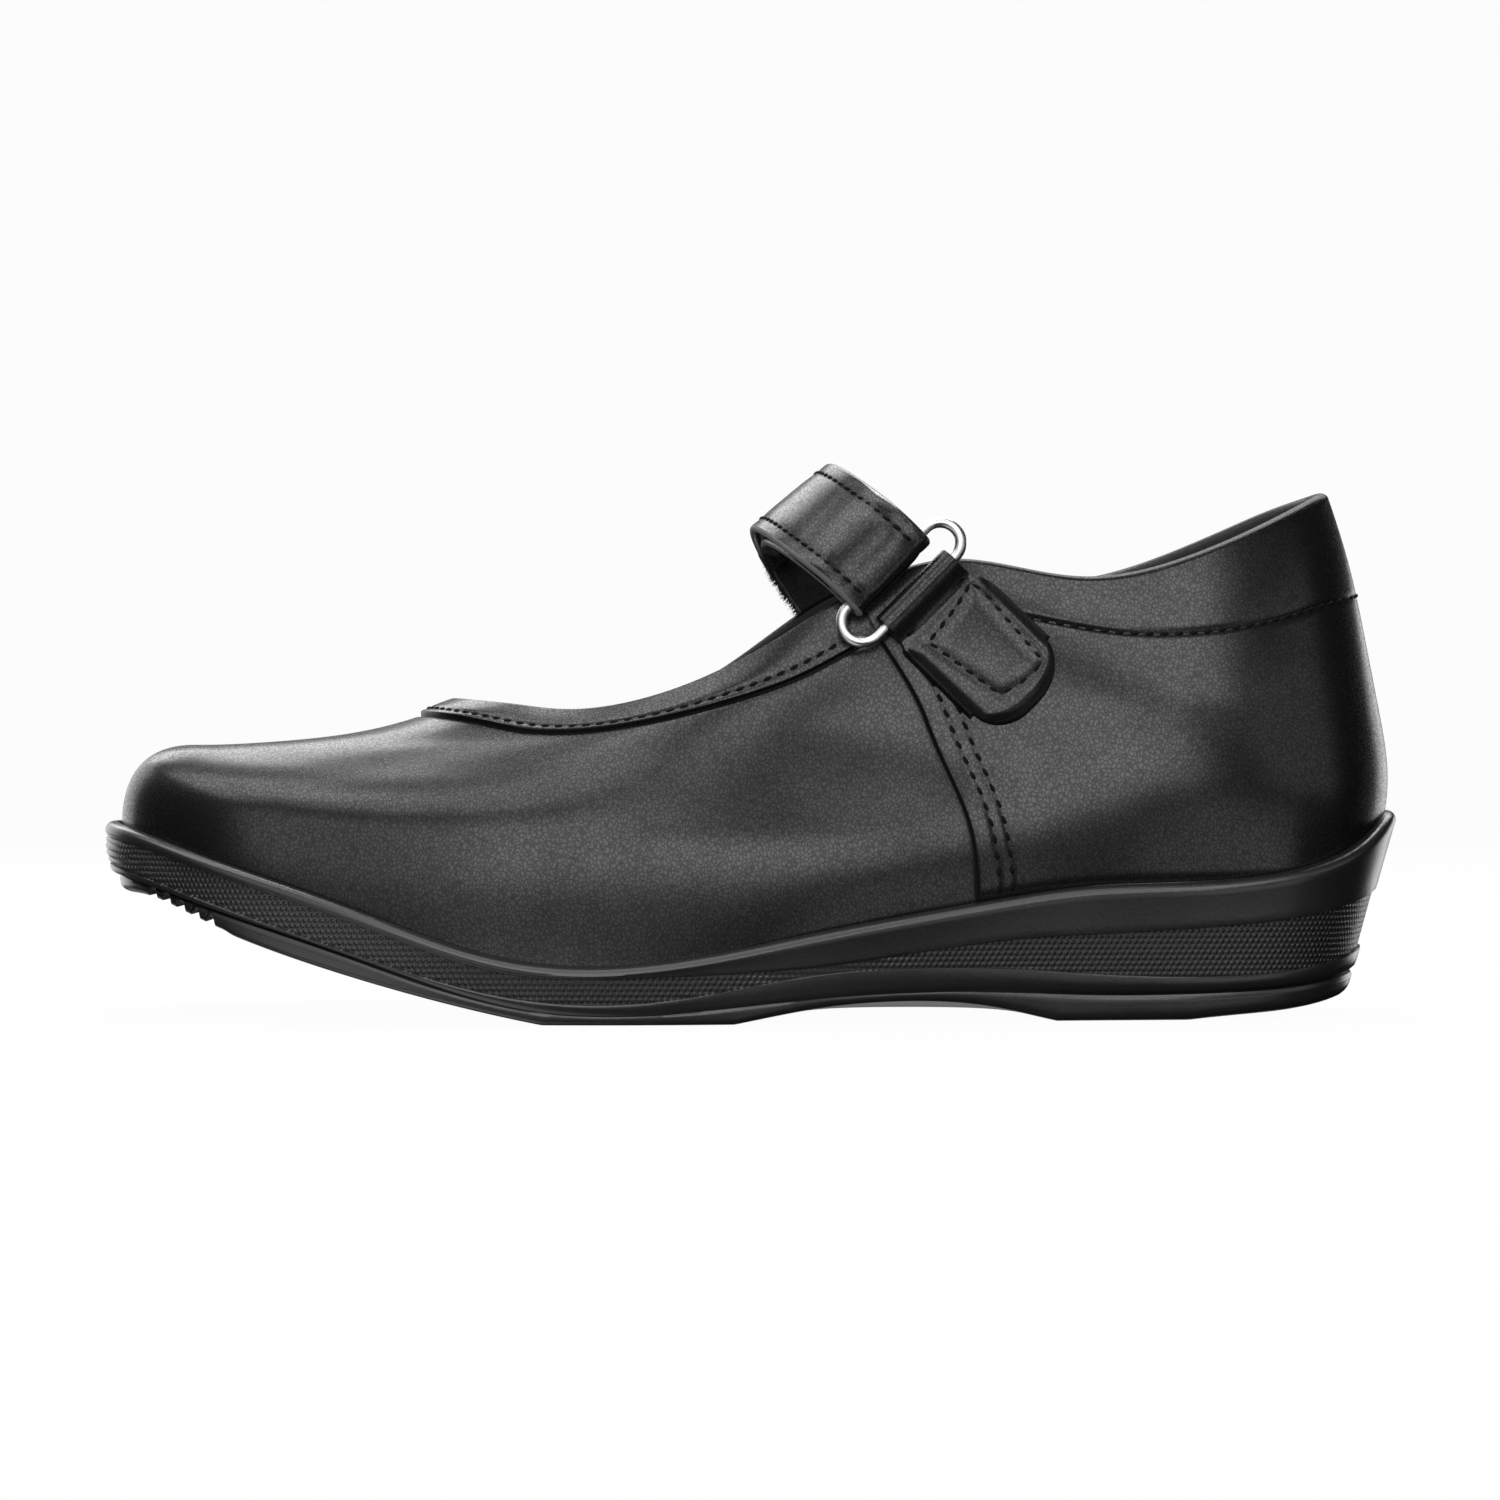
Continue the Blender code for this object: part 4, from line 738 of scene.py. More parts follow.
def makeSole():
    places = stationsAround(sole["stationsPerRow"], np.linspace(*sole["slotRows"]))
    toeBack = sole["slotsFrom"] + sole["slotPitch"] * (sole["slotCount"] - 0.5) + 0.5
    recess = sole["toeRecess"] * (1.0 - smooth(toeBack - 1.2, toeBack + 1.2, lipLine[0](places)))
    recess = recess * smooth(0.4, 2.2, rowOf(places))
    ground = np.maximum(groundLine(places), 0.0) + recess
    toe = 1.0 - smooth(0.8, 2.4, rowOf(places))
    side, bandFrom, layerFrom, mask = soleRings(places, ground, toe)
    low = side[:, layerFrom:]
    nearGround = 1.0 - smooth(0.3, 2.2, low[..., 2] - ground[:, None])
    beside = np.full(low.shape[:2], 60.0)  # past the ends of the cross grooves
    slots = np.where(low[..., 0] < toeBack, treadLift(low[..., 0], beside), 0.0)
    low[..., 2] += nearGround * slots
    first, second = side.shape[:2]
    rows = first // 2 + 1

    def span(ring, parts):  # points between the two sides at a ring, and their shares
        lateral = side[:rows, ring]
        medial = np.concatenate([side[:1, ring], side[:rows - 2:-1, ring]])
        share = np.linspace(0.0, 1.0, parts + 1)[None, 1:-1, None]
        return lateral[:, None] + share * (medial - lateral)[:, None], share[..., 0]

    def spanFaces(ring, parts, offset):  # quads between the two sides, closed at toe and heel
        vertex = np.empty((rows, parts + 1), int)
        vertex[:, 0] = np.arange(rows) * second + ring
        vertex[:, -1] = np.concatenate([[0], np.arange(first - 1, first - rows, -1)]) * second + ring
        vertex[:, 1:-1] = offset + np.arange(rows * (parts - 1)).reshape(rows, parts - 1)
        vertex[0, 1:-1] = vertex[0, 0]
        vertex[-1, 1:] = vertex[-1, 0]
        quads = np.stack([vertex[:-1, :-1], vertex[:-1, 1:], vertex[1:, 1:], vertex[1:, :-1]], axis=-1)
        return [list(dict.fromkeys(quad)) for quad in quads.reshape(-1, 4).tolist() if len(set(quad)) > 2]

    def flatGround(where):
        return (np.maximum(groundLine(where), 0.0) + recess[:rows])[:, None]

    bottom, share = span(-1, sole["across"])
    flatLateral = flatGround(places[:rows])
    flatMedial = flatGround((fullRound - places[:rows]) % fullRound)
    bottom[..., 2] = flatMedial + (flatLateral - flatMedial) * (1.0 - share) ** sole["archBend"]
    bottom[..., 2] += treadLift(bottom[..., 0], bottom[..., 1])
    bedFloor = span(0, sole["bedAcross"])[0]
    faces = gridQuads(first, second, True)[:, ::-1].tolist()
    start = first * second
    faces += spanFaces(second - 1, sole["across"], start)
    start += bottom.shape[0] * bottom.shape[1]
    faces += [face[::-1] for face in spanFaces(0, sole["bedAcross"], start)]
    points = np.concatenate([side.reshape(-1, 3), bottom.reshape(-1, 3), bedFloor.reshape(-1, 3)])
    thing = makeMesh("sole_moulding", points, faces, [soleRubber], None, 42.0)
    run = np.cumsum(np.linalg.norm(np.diff(side[:, bandFrom], axis=0, prepend=side[:1, bandFrom]), axis=1))
    across = np.concatenate([np.repeat(run, second), bottom[..., 0].ravel(), bedFloor[..., 0].ravel()])
    along = np.concatenate([side[..., 2].ravel(), bottom[..., 1].ravel(), bedFloor[..., 1].ravel()])
    addMap(thing, across, along)
    spare = np.zeros(len(points) - first * second)
    addAttribute(thing, "dots", np.concatenate([mask.ravel(), spare]))
    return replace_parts(thing, "sole_unit")


makeSole()
print("sole made")

# Insole: sheet over the bed, its rim turned up a little and its top hollowed for the foot
insole = {"thickness": 2.5, "hollow": 0.5, "rimRound": 0.9, "edgeGap": 0.2, "across": 36,
          "stationsPerRow": 14}


def makeInsole():
    half = np.linspace(0.0, lastRow, lastRow * insole["stationsPerRow"] + 1)
    inset = upper["wall"] + fitGap + insole["edgeGap"]
    sides = []
    for places in (half, (fullRound - half) % fullRound):
        sides.append(soleEdge(places, footInset(places) + inset, bedHeight(places) + fitGap))
    share = np.linspace(0.0, 1.0, insole["across"] + 1)[None, :, None]
    low = sides[0][:, None] + share * (sides[1] - sides[0])[:, None]
    width = np.linalg.norm(sides[1] - sides[0], axis=1)[:, None]
    fromEdge = np.minimum(share[..., 0], 1.0 - share[..., 0]) * width
    high = low.copy()
    roundOff = insole["rimRound"] * (1.0 - smooth(0.0, 1.6, fromEdge)) ** 2
    high[..., 2] += insole["thickness"] - roundOff - insole["hollow"] * smooth(2.0, 14.0, fromEdge)
    rows, columns = high.shape[:2]
    top = gridQuads(rows, columns)
    bottom = top[:, ::-1] + rows * columns
    rim = np.concatenate([np.arange(rows) * columns, np.arange(rows - 1, -1, -1) * columns + columns - 1])
    after, under = np.roll(rim, -1), rows * columns
    edge = np.stack([rim, after, after + under, rim + under], axis=-1)
    points = np.concatenate([high.reshape(-1, 3), low.reshape(-1, 3)])
    points, faces = welded(points, np.concatenate([top, bottom, edge[:, ::-1]]))
    thing = makeMesh("insole_sheet", points, faces, [insoleCloth])
    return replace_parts(thing, "insole")


makeInsole()
print("insole made")

# Ring, tab and strap
ring = {"centre": (25.1, 72.2), "axisDegrees": 45.5, "wire": 1.9, "halfStraight": 9.3, "halfWidth": 3.4,
        "lift": 3.8}
tab = {"length": 25.6, "from": -7.2, "to": 8.6, "flare": 1.4, "flareOver": (1.0, 9.0), "endRound": 0.85,
       "leaf": 1.2, "corner": 7.0, "slope": 4.6, "edgeSpread": 1.1, "puff": 0.3, "shieldDip": 0.14,
       "edgeFall": 0.6, "edgeWidth": 1.9,
       "under": 0.25, "between": 0.1,  # gaps under the lower leaf and between the two
       "shield": ((0.86, 5.3), (0.66, 23.4), (-0.35, 21.2), (-0.60, 6.9))}  # side and way behind the bar
strap = {
    "width": 17.4, "thickness": 1.4, "axisDegrees": 39.2, "instepTop": (6.6, 0.0, 88.4), "shift": -0.4,
    "tape": 0.8, "tapeWidth": 15.0, "tapeGap": 0.4, "straight": 5.5, "corner": 5.0, "freeEnd": 2.7,
    "stitchIn": 2.7, "wallGap": 0.2, "wallFrom": 15.0, "foldStops": 20, "faceStops": 25, "edgeStops": 7,
    "tapeStops": 60, "tapeEnds": (0.9, 2.3), "tapeFill": 0.5,  # places short of the run, and its pile
    "basePace": 9.6, "tipPace": 10.0,  # millimetres for each place at the sewn and at the free end
    "y": [29.0, 28.2, 26.6, 21.2, 12.0, 0.0, -12.0, -22.8],  # middle line, sewn end to outer shoulder
    "drop": [37.0, 27.5, 18.0, 9.2, 4.2, 2.2, 3.2, 8.2],
    "drift": [-1.6, -1.8, -1.8, -1.3, -0.6, 0.0, 0.7, 1.8],
}
tabHalf = 0.5 * (tab["to"] - tab["from"])
tabLow = upper["quarterRaise"] + tab["under"]
tabHigh = tabLow + 2.0 * tab["leaf"] + tab["between"]
strapHalf = 0.5 * strap["width"]


def ringFrame():  # middle of the rear bar on the leather, along the bars, backward, and off the leather
    turn = math.radians(ring["axisDegrees"])
    bar = np.array([math.cos(turn), math.sin(turn)])
    back = np.array([math.sin(turn), -math.cos(turn)])
    rear = np.array(ring["centre"]) + ring["halfWidth"] * back
    spots = np.array([rear, rear - 8.0 * bar, rear + 8.0 * bar, rear + 12.0 * back])
    seat, low, high, behind = sidePoint(spots[:, 0], spots[:, 1])
    along = unit(high - low)
    backward = behind - seat
    backward = unit(backward - along * np.dot(backward, along))
    lift = np.cross(along, backward)
    return seat, along, backward, lift if lift[1] < 0.0 else -lift


seat, alongBar, backward, offLeather = ringFrame()


def makeRing():  # circle carried along an oval of two straight bars and two half circles
    turn = np.linspace(0.0, np.pi, 25)
    reach = ring["halfStraight"] + ring["halfWidth"] * np.sin(turn)
    width = ring["halfWidth"] * np.cos(turn)
    bars = np.linspace(1.0, -1.0, 14)[1:-1]
    flat = np.concatenate([np.stack([reach, width], -1),
                           np.stack([ring["halfStraight"] * bars, 0 * bars - ring["halfWidth"]], -1),
                           np.stack([-reach, -width], -1),
                           np.stack([-ring["halfStraight"] * bars, 0 * bars + ring["halfWidth"]], -1)])
    centre = seat + offLeather * ring["lift"] - backward * ring["halfWidth"]
    path = centre + flat[:, :1] * alongBar + flat[:, 1:] * backward
    way = unit(np.roll(path, -1, axis=0) - np.roll(path, 1, axis=0))
    side = unit(np.cross(way, offLeather))
    angle = np.linspace(0.0, 2.0 * np.pi, 20, endpoint=False)[None, :, None]
    radius = 0.5 * ring["wire"]
    points = path[:, None] + radius * (side[:, None] * np.cos(angle) + offLeather * np.sin(angle))
    quads = gridQuads(*points.shape[:2], True, True)
    thing = makeMesh("ring_wire", points, quads.tolist(), [ringSteel])
    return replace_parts(thing, "ring")


def tabSection():  # one folded leaf: outer path under, round the bar and over, then the inner path back
    leaf, length = tab["leaf"], tab["length"]
    wire = 0.5 * ring["wire"] + 0.12
    radius = wire + leaf
    under = np.linspace(1.0, 0.0, 26)
    angles = np.linspace(1.5 * np.pi, 0.5 * np.pi, 19)[1:-1]
    over = np.linspace(0.0, 1.0, 64)

    def leafLine(top, bottom, share):  # from the bar's height down to the flat part
        return bottom + (top - bottom) * (1.0 - smooth(0.0, tab["slope"], share * length))

    outer = [np.stack([under * length, leafLine(ring["lift"] - radius, tabLow, under)], -1),
             np.stack([radius * np.cos(angles), ring["lift"] + radius * np.sin(angles)], -1),
             np.stack([over * length, leafLine(ring["lift"] + radius, tabHigh, over)], -1)]
    under, over = under[::-1], over[::-1]
    inner = [np.stack([over * length, leafLine(ring["lift"] + wire, tabHigh - leaf, over)], -1),
             np.stack([wire * np.cos(angles[::-1]), ring["lift"] + wire * np.sin(angles[::-1])], -1),
             np.stack([under * length, leafLine(ring["lift"] - wire, tabLow + leaf, under)], -1)]
    return np.concatenate(outer + inner), len(under) + len(angles), len(over)


def shieldInside(side, behind):  # distance inside the tab's stitched shield, negative outside
    corners = np.array(tab["shield"]) * (tabHalf, 1.0)
    inside = np.full(np.shape(side), 99.0)
    for start, end in zip(corners, np.roll(corners, -1, axis=0)):
        way = unit(end - start)
        off = (side * tabHalf - start[0]) * way[1] - (behind - start[1]) * way[0]
        inside = np.minimum(inside, -off)
    return inside


def tabPoint(side, behind, height):  # on the quarter: side -1 to 1 along the bar, distance behind it
    middle = 0.5 * (tab["from"] + tab["to"])
    corner = np.maximum(0.0, np.abs(side) * tabHalf - (tabHalf - tab["corner"]))
    short = tab["corner"] - np.sqrt(np.maximum(tab["corner"] ** 2 - corner ** 2, 0.0))
    behind = behind * np.where(behind > 4.0, 1.0 - tab["endRound"] * short / tab["length"], 1.0)
    flare = np.maximum(side, 0.0) * tab["flare"] * smooth(*tab["flareOver"], behind)
    across = middle + side * tabHalf + flare
    flat = seat + alongBar * across[..., None] + backward * behind[..., None]
    ground = np.sum((sidePoint(flat[..., 0], flat[..., 2]) - flat) * offLeather, axis=-1)
    return flat + offLeather * (height + smooth(0.0, tab["slope"], behind) * ground)[..., None]


def makeTab():
    section, topFrom, topCount = tabSection()
    sides = np.sin(np.linspace(-0.5 * np.pi, 0.5 * np.pi, 49))
    side = np.broadcast_to(sides[:, None], (len(sides), len(section)))
    behind = np.broadcast_to(section[None, :, 0], side.shape)
    height = np.broadcast_to(section[None, :, 1], side.shape).copy()
    inside = shieldInside(side, behind)
    top = np.zeros(side.shape)
    top[:, topFrom:topFrom + topCount] = 1.0
    flatPart = smooth(tab["slope"] + 1.0, tab["slope"] + 5.0, behind)
    fromEdge = np.minimum(tabHalf * (1.0 - np.abs(side)), tab["length"] - behind)
    rim = top * flatPart * (1.0 - smooth(0.0, tab["edgeWidth"], fromEdge))
    height += top * (tab["puff"] * smooth(-0.4, 2.4, inside) - tab["shieldDip"] * hump(inside, 0.0, 0.55))
    height -= tab["edgeFall"] * rim
    depth = smooth(tab["slope"], tab["slope"] + 2.0, behind)
    depth = depth * np.clip(1.0 - height / section[:, 1].max(), 0.0, 1.0)
    spread = tab["edgeSpread"] * depth  # the lower leaf reaches farther out than the upper one
    points = tabPoint(side * (1.0 + spread / tabHalf), behind * (1.0 + spread / tab["length"]), height)
    rows, columns = points.shape[:2]
    ends = np.arange(columns)
    caps = np.stack([ends, np.roll(ends, -1), np.roll(ends[::-1], -1), ends[::-1]], axis=-1)
    caps = caps[:columns // 2 - 1]
    faces = gridQuads(rows, columns, False, True)[:, ::-1].tolist()
    faces += caps[:, ::-1].tolist() + (caps + (rows - 1) * columns).tolist()
    thing = makeMesh("ring_tab_leaf", points, faces, [tabLeather], None, 50.0)
    # painted shade along the shield's stitch line, on the lower leaf and on the top leaf's outer rim;
    # the dull rim and cut sides are partly the tab's edge paint and partly painted shade
    shade = 0.2 * top * hump(inside, 0.0, 0.45) + 0.9 * smooth(0.05, 0.5, rim)
    shade = shade + 0.75 * (1.0 - top) * (behind > tab["slope"])
    shade[[0, -1]] = 0.8
    addAttribute(thing, "groove", np.clip(shade, 0.0, 1.0))
    bevel = thing.modifiers.new("Worn edge", "BEVEL")
    bevel.width = 0.35 * mm
    bevel.segments = 3
    bevel.angle_limit = math.radians(55.0)
    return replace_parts(thing, "ring_tab")


makeRing()
makeTab()
print("ring and tab made")


def strapRows():  # points of the strap's middle line, sewn end to the ring's front bar
    tilt = math.radians(strap["axisDegrees"])
    instep = np.array([math.cos(tilt), 0.0, math.sin(tilt)])
    down = np.array([math.sin(tilt), 0.0, -math.cos(tilt)])
    drop, drift = np.array(strap["drop"])[:, None], np.array(strap["drift"])[:, None]
    rows = np.array(strap["instepTop"]) + down * drop + instep * drift
    rows[:, 1] = strap["y"]
    bar = seat + offLeather * ring["lift"] - backward * 2.0 * ring["halfWidth"] + alongBar * strap["shift"]
    return np.concatenate([rows, [bar - backward * strap["straight"], bar]]), instep


strapPoints, instepWay = strapRows()
strapLast = len(strapPoints) - 1.0
strapCurve = openCurve(strapPoints)
leafSpread = strap["tape"] + 2.0 * strap["tapeGap"] + strap["thickness"]
barSpread = ring["wire"] + fitGap + strap["thickness"]


def strapLine(places):  # middle points, width directions, outward directions, distance between the two runs
    point = strapCurve(places)
    before, after = np.maximum(places - 0.01, 0.0), np.minimum(places + 0.01, strapLast)
    ahead = unit(strapCurve(after) - strapCurve(before))
    turned = smooth(5.0, strapLast - 1.0, places)[:, None]
    width = unit(instepWay * (1.0 - turned) + alongBar * turned)
    out = unit(np.cross(ahead, width))
    width = unit(np.cross(out, ahead))
    spread = leafSpread + (barSpread - leafSpread) * smooth(strapLast - 2.2, strapLast - 0.5, places)
    return point, width, out, spread


def wallShift(points, reach):  # how far strap points move out to clear the inner quarter
    wallY = sidePoint(points[..., 0], points[..., 2], True)[..., 1]
    short = wallY + upper["quarterRaise"] + strap["wallGap"] + reach - points[..., 1]
    short = np.where(points[..., 1] > strap["wallFrom"], short, -9.0)  # far from the wall elsewhere
    return 0.5 * (short + np.sqrt(short ** 2 + 0.16))


def roundedWidth(distance, half, radius):  # half width of a strip at a distance from its rounded end
    short = np.clip(radius - distance, 0.0, radius)
    return half - radius + np.sqrt(np.maximum(radius ** 2 - short ** 2, 0.0))


# Values at each stop along the strap: middle point, width and outward directions, offset of the leaf, reach
# over the wall, half width, and place on the outer run
stopNames = ("point", "width", "out", "offset", "reach", "half", "place")


def strapStops():
    def leafRun(places, offset, fromEnd, outerPlaces):
        point, width, out, spread = strapLine(places)
        half = roundedWidth(fromEnd, strapHalf, strap["corner"])
        return point, width, out, offset * spread, 0.5 * (spread + strap["thickness"]), half, outerPlaces

    basePlaces = np.unique(np.concatenate([np.linspace(0.0, 0.5, 16), np.linspace(0.5, strapLast, 130)]))
    base = leafRun(basePlaces, -0.5, strap["basePace"] * basePlaces, 0.0 * basePlaces)
    point, width, out, offset = [values[-1] for values in base[:4]]
    angle = np.linspace(0.0, np.pi, strap["foldStops"] + 2)[1:-1]
    turned = np.cross(width, out) * np.sin(angle)[:, None] - out * np.cos(angle)[:, None]
    count = len(angle)
    fold = (np.tile(point, (count, 1)), np.tile(width, (count, 1)), turned, np.full(count, -offset),
            np.full(count, np.nan), np.full(count, strapHalf), np.zeros(count))
    end = strap["freeEnd"]
    tip, rest = np.linspace(end, end + 0.5, 16), np.linspace(end + 0.5, strapLast, 110)
    backPlaces = np.unique(np.concatenate([tip, rest]))[::-1]
    back = leafRun(backPlaces, 0.5, strap["tipPace"] * (backPlaces - end), backPlaces)
    joined = [np.concatenate(parts) for parts in zip(base, fold, back)]
    return dict(zip(stopNames, joined)), len(basePlaces)


def someStops(stops, which):
    return {name: values[which] for name, values in stops.items()}


def strapSheet(stops, across):  # middle of the leaf at shares across it (stops x shares x 3)
    point, width, out, offset, reach, halfWidth = [stops[name] for name in stopNames[:-1]]
    sheet = point[:, None] + width[:, None] * (across * halfWidth[:, None])[..., None]
    seated = ~np.isnan(reach)
    moved = np.zeros(sheet.shape[:2])
    spans = np.linspace(-strapHalf, strapHalf, 7)
    wide = point[seated][:, None] + width[seated][:, None] * spans[None, :, None]
    shifts = wallShift(wide, reach[seated][:, None])
    wanted = (across * halfWidth[:, None])[seated]
    place = np.clip((wanted + strapHalf) / (spans[1] - spans[0]), 0.0, len(spans) - 1.001)
    before = place.astype(int)
    share = place - before
    moved[seated] = (np.take_along_axis(shifts, before, 1) * (1.0 - share)
                     + np.take_along_axis(shifts, before + 1, 1) * share)
    sheet[..., 1] += moved
    return sheet + out[:, None] * offset[:, None, None]


strapFolds = {"creasePlace": 7.15, "creaseDepth": 0.12, "creaseWidth": 0.18,
              "ridgePlace": 7.75, "ridgeHeight": 0.16, "ridgeWidth": 0.22}


def makeStrap():
    stops, baseCount = strapStops()
    thick, faceStops, edgeStops = strap["thickness"], strap["faceStops"], strap["edgeStops"]
    flat = np.linspace(-1.0, 1.0, faceStops)
    roundEdge = np.radians(np.linspace(90.0, -90.0, edgeStops + 2)[1:-1])
    inset = 0.5 * thick
    halfWidth = stops["half"][:, None]
    inner = (halfWidth - inset) / halfWidth
    topShare = flat[None, :] * inner
    edgeShare = inner + inset * np.cos(roundEdge)[None, :] / halfWidth
    across = np.concatenate([topShare, edgeShare, topShare[:, ::-1], -edgeShare[:, ::-1]], axis=1)
    there = np.concatenate([np.full(faceStops, 0.5), 0.5 * np.sin(roundEdge)])
    height = np.concatenate([there, -there])
    height = np.broadcast_to(height[None, :] * thick, across.shape).copy()
    fromEdge = halfWidth * (1.0 - np.abs(across))
    face = np.zeros(across.shape[1])
    face[:faceStops] = 1.0
    height -= face * (0.16 * hump(fromEdge, strap["stitchIn"], 0.6) - 0.12 * smooth(2.0, 6.0, fromEdge))
    place = stops["place"][:, None] + 0.10 * across  # the crease and the ridge lie a little askew
    ridge = strapFolds["ridgeHeight"] * hump(place, strapFolds["ridgePlace"], strapFolds["ridgeWidth"])
    crease = strapFolds["creaseDepth"] * hump(place, strapFolds["creasePlace"], strapFolds["creaseWidth"])
    height += face * (ridge - crease)
    sheet = strapSheet(stops, across)
    away = np.sign(stops["offset"])[:, None, None] * stops["out"][:, None]
    points = sheet + away * height[..., None]
    rows, columns = points.shape[:2]
    faces = [ends[::-1] for ends in tubeFaces(rows, columns)]
    finish = np.zeros((rows - 1, columns), int)
    finish[:baseCount - 6, :faceStops] = 1
    finish[:, faceStops + 1:faceStops + edgeStops] = 2
    finish[:, columns - edgeStops + 1:] = 2
    faceFinish = np.concatenate([finish.ravel(), [2, 2]])
    thing = makeMesh("strap_leaf", points, faces, [strapLeather, pileCloth, cutEdge],
                     faceFinish, 50.0)
    # painted shade along the stitch lines of the outer run, passed to the finish as groove
    shade = face * 0.6 * hump(fromEdge, strap["stitchIn"], 0.4)
    addAttribute(thing, "groove", shade * (stops["place"] > 0.0)[:, None])
    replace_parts(thing, "strap")
    return stops, baseCount


def makeTape():  # fastening tape between the two runs of the strap
    start, end = strap["tapeEnds"]
    places = np.linspace(strap["freeEnd"] + start, strapLast - end, strap["tapeStops"])
    point, width, out, spread = strapLine(places)
    half = np.full(len(places), 0.5 * strap["tapeWidth"])
    values = (point, width, out, 0.0 * spread, 0.5 * (spread + strap["thickness"]), half)
    stops = dict(zip(stopNames, values))
    there = np.linspace(-1, 1, 15)
    across = np.tile(np.concatenate([there, there[::-1]]), (len(places), 1))
    height = np.repeat([0.5, -0.5], len(there)) * (strap["tape"] + strap["tapeFill"])
    points = strapSheet(stops, across) + out[:, None] * height[None, :, None]
    thing = makeMesh("tape_pile", points, tubeFaces(*points.shape[:2]), [pileCloth])
    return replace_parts(thing, "fastening_tape")


pile = {"fibres": 3400, "edgeFibres": 2400, "length": 1.3, "root": 0.10, "from": 0.8, "to": 6.4, "seed": 5,
        "reach": 0.99, "edge": 0.985, "scatter": 0.7, "edgeLean": 1.6}


def makeFibres(stops, baseCount):  # loose ends of the brushed underside: thin spikes, more at its edges
    chance = np.random.default_rng(pile["seed"])
    count = pile["fibres"] + pile["edgeFibres"]
    first, last = int(pile["from"] / strapLast * baseCount), int(pile["to"] / strapLast * baseCount)
    row = chance.integers(first, last, count)
    across = chance.uniform(-pile["reach"], pile["reach"], (count, 1))
    edge = np.arange(count) < pile["edgeFibres"]
    across[edge] = np.sign(across[edge]) * pile["edge"]
    chosen = someStops(stops, row)
    away = -chosen["out"]
    root = strapSheet(chosen, across)[:, 0] + away * (0.45 * strap["thickness"])
    way = away * chance.uniform(0.3, 1.0, (count, 1)) + pile["scatter"] * chance.normal(size=(count, 3))
    way = unit(way + (edge[:, None] * pile["edgeLean"] * across) * chosen["width"])
    tip = root + way * (pile["length"] * chance.uniform(0.4, 1.2, (count, 1)))
    side = unit(np.cross(way, chosen["width"] + 0.3))
    other = np.cross(way, side)
    turn = (2.0 * np.pi * np.arange(3) / 3.0)[None, :, None]
    foot = pile["root"] * (side[:, None] * np.cos(turn) + other[:, None] * np.sin(turn))
    points = np.concatenate([root[:, None] + foot, tip[:, None]], axis=1)
    spike = np.array([(0, 1, 3), (1, 2, 3), (2, 0, 3), (2, 1, 0)])
    faces = (np.arange(count)[:, None, None] * 4 + spike).reshape(-1, 3)
    return makeMesh("pile_fibres", points, faces.tolist(), [pileCloth])


strapRun, strapBase = makeStrap()
makeTape()
makeFibres(strapRun, strapBase)
print("strap and tape made")

# Stitches: spindles along rows, a little slanted, their ends sunk into the leather
stitch = {"length": 1.75, "thread": 0.30, "slant": 8.0, "arch": 0.22, "throatPitch": 2.4, "seamPitch": 2.75,
          "collarPitch": 2.5, "strapPitch": 2.35, "tabPitch": 2.4, "throatTo": 7.75, "collarFrom": 8.55,
          "seamRises": (0.07, 0.80), "stops": 7, "sides": 6}
stitchParts = []


def sewRow(path, out, pitch):  # path and outward directions, dense; spindles at even arc length
    run = np.concatenate([[0.0], np.cumsum(np.linalg.norm(np.diff(path, axis=0), axis=1))])
    count = max(1, int(run[-1] / pitch))
    marks = (np.arange(count) + 0.5) * run[-1] / count

    def along(values, where):  # vectors at distances along the row
        return np.stack([np.interp(where, run, values[:, axis]) for axis in range(3)], axis=-1)

    middle = along(path, marks)
    ahead = along(path, marks + 0.4) - along(path, marks - 0.4)
    normal = unit(along(out, marks))
    ahead = unit(ahead - normal * np.sum(ahead * normal, axis=1, keepdims=True))
    beside = np.cross(normal, ahead)
    slant = math.radians(stitch["slant"])
    way = ahead * math.cos(slant) + beside * math.sin(slant)
    beside = np.cross(normal, way)
    reach = np.linspace(-1.0, 1.0, stitch["stops"])
    radius = stitch["thread"] * np.sqrt(np.maximum(1.0 - 0.86 * reach ** 2, 0.0))
    angle = np.linspace(0.0, 2.0 * np.pi, stitch["sides"], endpoint=False)
    length = 0.5 * stitch["length"] * reach
    height = radius[:, None] * np.cos(angle) - stitch["arch"] * reach[:, None] ** 2
    breadth = 1.15 * radius[:, None] * np.sin(angle)
    spindle = (middle[:, None, None] + way[:, None, None] * length[None, :, None, None]
               + normal[:, None, None] * height[None, ..., None]
               + beside[:, None, None] * breadth[None, ..., None])
    stitchParts.append(spindle.reshape(count, -1, 3))


def sewUpper(place, rise, pitch):  # a row on the upper, on top of its panels
    place, rise = np.broadcast_arrays(place, rise)
    out = outwardAt(place, rise)
    lift = panelLift(place, rise, ribLength(place))
    sewRow(leatherAt(place, rise) + out * (lift + 0.05)[:, None], out, pitch)


